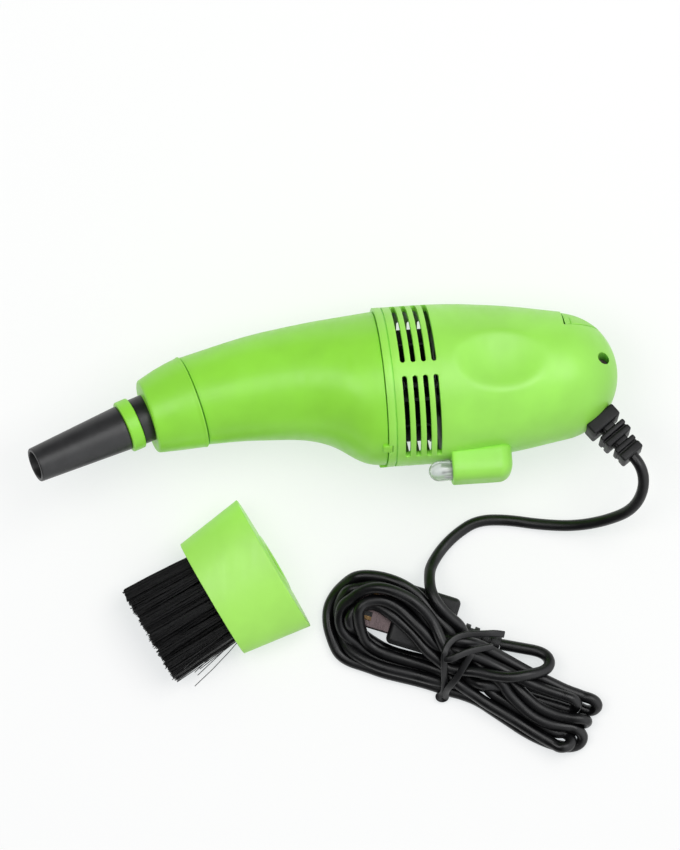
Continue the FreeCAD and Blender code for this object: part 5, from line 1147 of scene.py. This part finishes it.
class VACUUM_OT_housing(bpy.types.Operator):
    """Motor housing with its vents, finger dishes and switch well"""
    bl_idname = "vacuum.housing"
    bl_label = "Motor housing"

    def execute(self, context):
        make_housing(context.scene.vacuum_sizes, context.scene.vacuum_colours)
        return {"FINISHED"}


class VACUUM_OT_rocker(bpy.types.Operator):
    """Rocker switch on the tail"""
    bl_idname = "vacuum.rocker"
    bl_label = "Rocker switch"

    def execute(self, context):
        make_rocker(context.scene.vacuum_sizes, context.scene.vacuum_colours)
        return {"FINISHED"}


class VACUUM_OT_cup(bpy.types.Operator):
    """Dust cup and nose"""
    bl_idname = "vacuum.cup"
    bl_label = "Dust cup"

    def execute(self, context):
        make_cup(context.scene.vacuum_sizes, context.scene.vacuum_colours)
        make_nose(context.scene.vacuum_colours)
        return {"FINISHED"}


class VACUUM_OT_nozzle(bpy.types.Operator):
    """Spigot, collar and rubber nozzle"""
    bl_idname = "vacuum.nozzle"
    bl_label = "Nozzle"

    def execute(self, context):
        make_nozzle(context.scene.vacuum_colours)
        return {"FINISHED"}


class VACUUM_OT_lamp(bpy.types.Operator):
    """Lamp pod and its lamp"""
    bl_idname = "vacuum.lamp"
    bl_label = "Lamp"

    def execute(self, context):
        make_lamp(context.scene.vacuum_colours)
        return {"FINISHED"}


class VACUUM_OT_brush(bpy.types.Operator):
    """Brush head and its bristles"""
    bl_idname = "vacuum.brush"
    bl_label = "Brush head"

    def execute(self, context):
        make_brush(context.scene.vacuum_colours)
        make_bristles(context.scene.vacuum_sizes, context.scene.vacuum_colours)
        return {"FINISHED"}


class VACUUM_OT_inside(bpy.types.Operator):
    """Finishes of the fan, motor, filter, switch and plug metal"""
    bl_idname = "vacuum.inside"
    bl_label = "Inner parts"

    def execute(self, context):
        dress_inside(context.scene.vacuum_colours)
        return {"FINISHED"}


OPERATORS = (VACUUM_OT_stage, VACUUM_OT_cord, VACUUM_OT_housing, VACUUM_OT_rocker, VACUUM_OT_cup,
             VACUUM_OT_nozzle, VACUUM_OT_lamp, VACUUM_OT_brush, VACUUM_OT_inside)
GROUPS = (("vacuum_sizes", VacuumSizes), ("vacuum_colours", VacuumColours), ("vacuum_stage", VacuumStage))


class VACUUM_PT_panel(bpy.types.Panel):
    """Sizes, colours and the steps that build the vacuum"""
    bl_idname = "VACUUM_PT_panel"
    bl_label = "Mini vacuum"
    bl_space_type = "VIEW_3D"
    bl_region_type = "UI"
    bl_category = "Vacuum"

    def draw(self, context):
        for name, group in GROUPS:
            box = self.layout.box()
            for key in group.__annotations__:
                box.prop(getattr(context.scene, name), key)
        for operator in OPERATORS:
            self.layout.operator(operator.bl_idname)


CLASSES = tuple(group for _, group in GROUPS) + OPERATORS + (VACUUM_PT_panel,)


def register():
    """Make the classes and their properties known."""
    for cls in CLASSES:
        bpy.utils.register_class(cls)
    for name, group in GROUPS:
        setattr(bpy.types.Scene, name, bpy.props.PointerProperty(type=group))


def unregister():
    """Take the classes and their properties away."""
    for name, _ in GROUPS:
        delattr(bpy.types.Scene, name)
    for cls in reversed(CLASSES):
        bpy.utils.unregister_class(cls)


def main():
    """Build everything in order."""
    register()
    for operator in OPERATORS:
        group, name = operator.bl_idname.split(".")
        getattr(getattr(bpy.ops, group), name)()


if __name__ == "__main__":
    main()
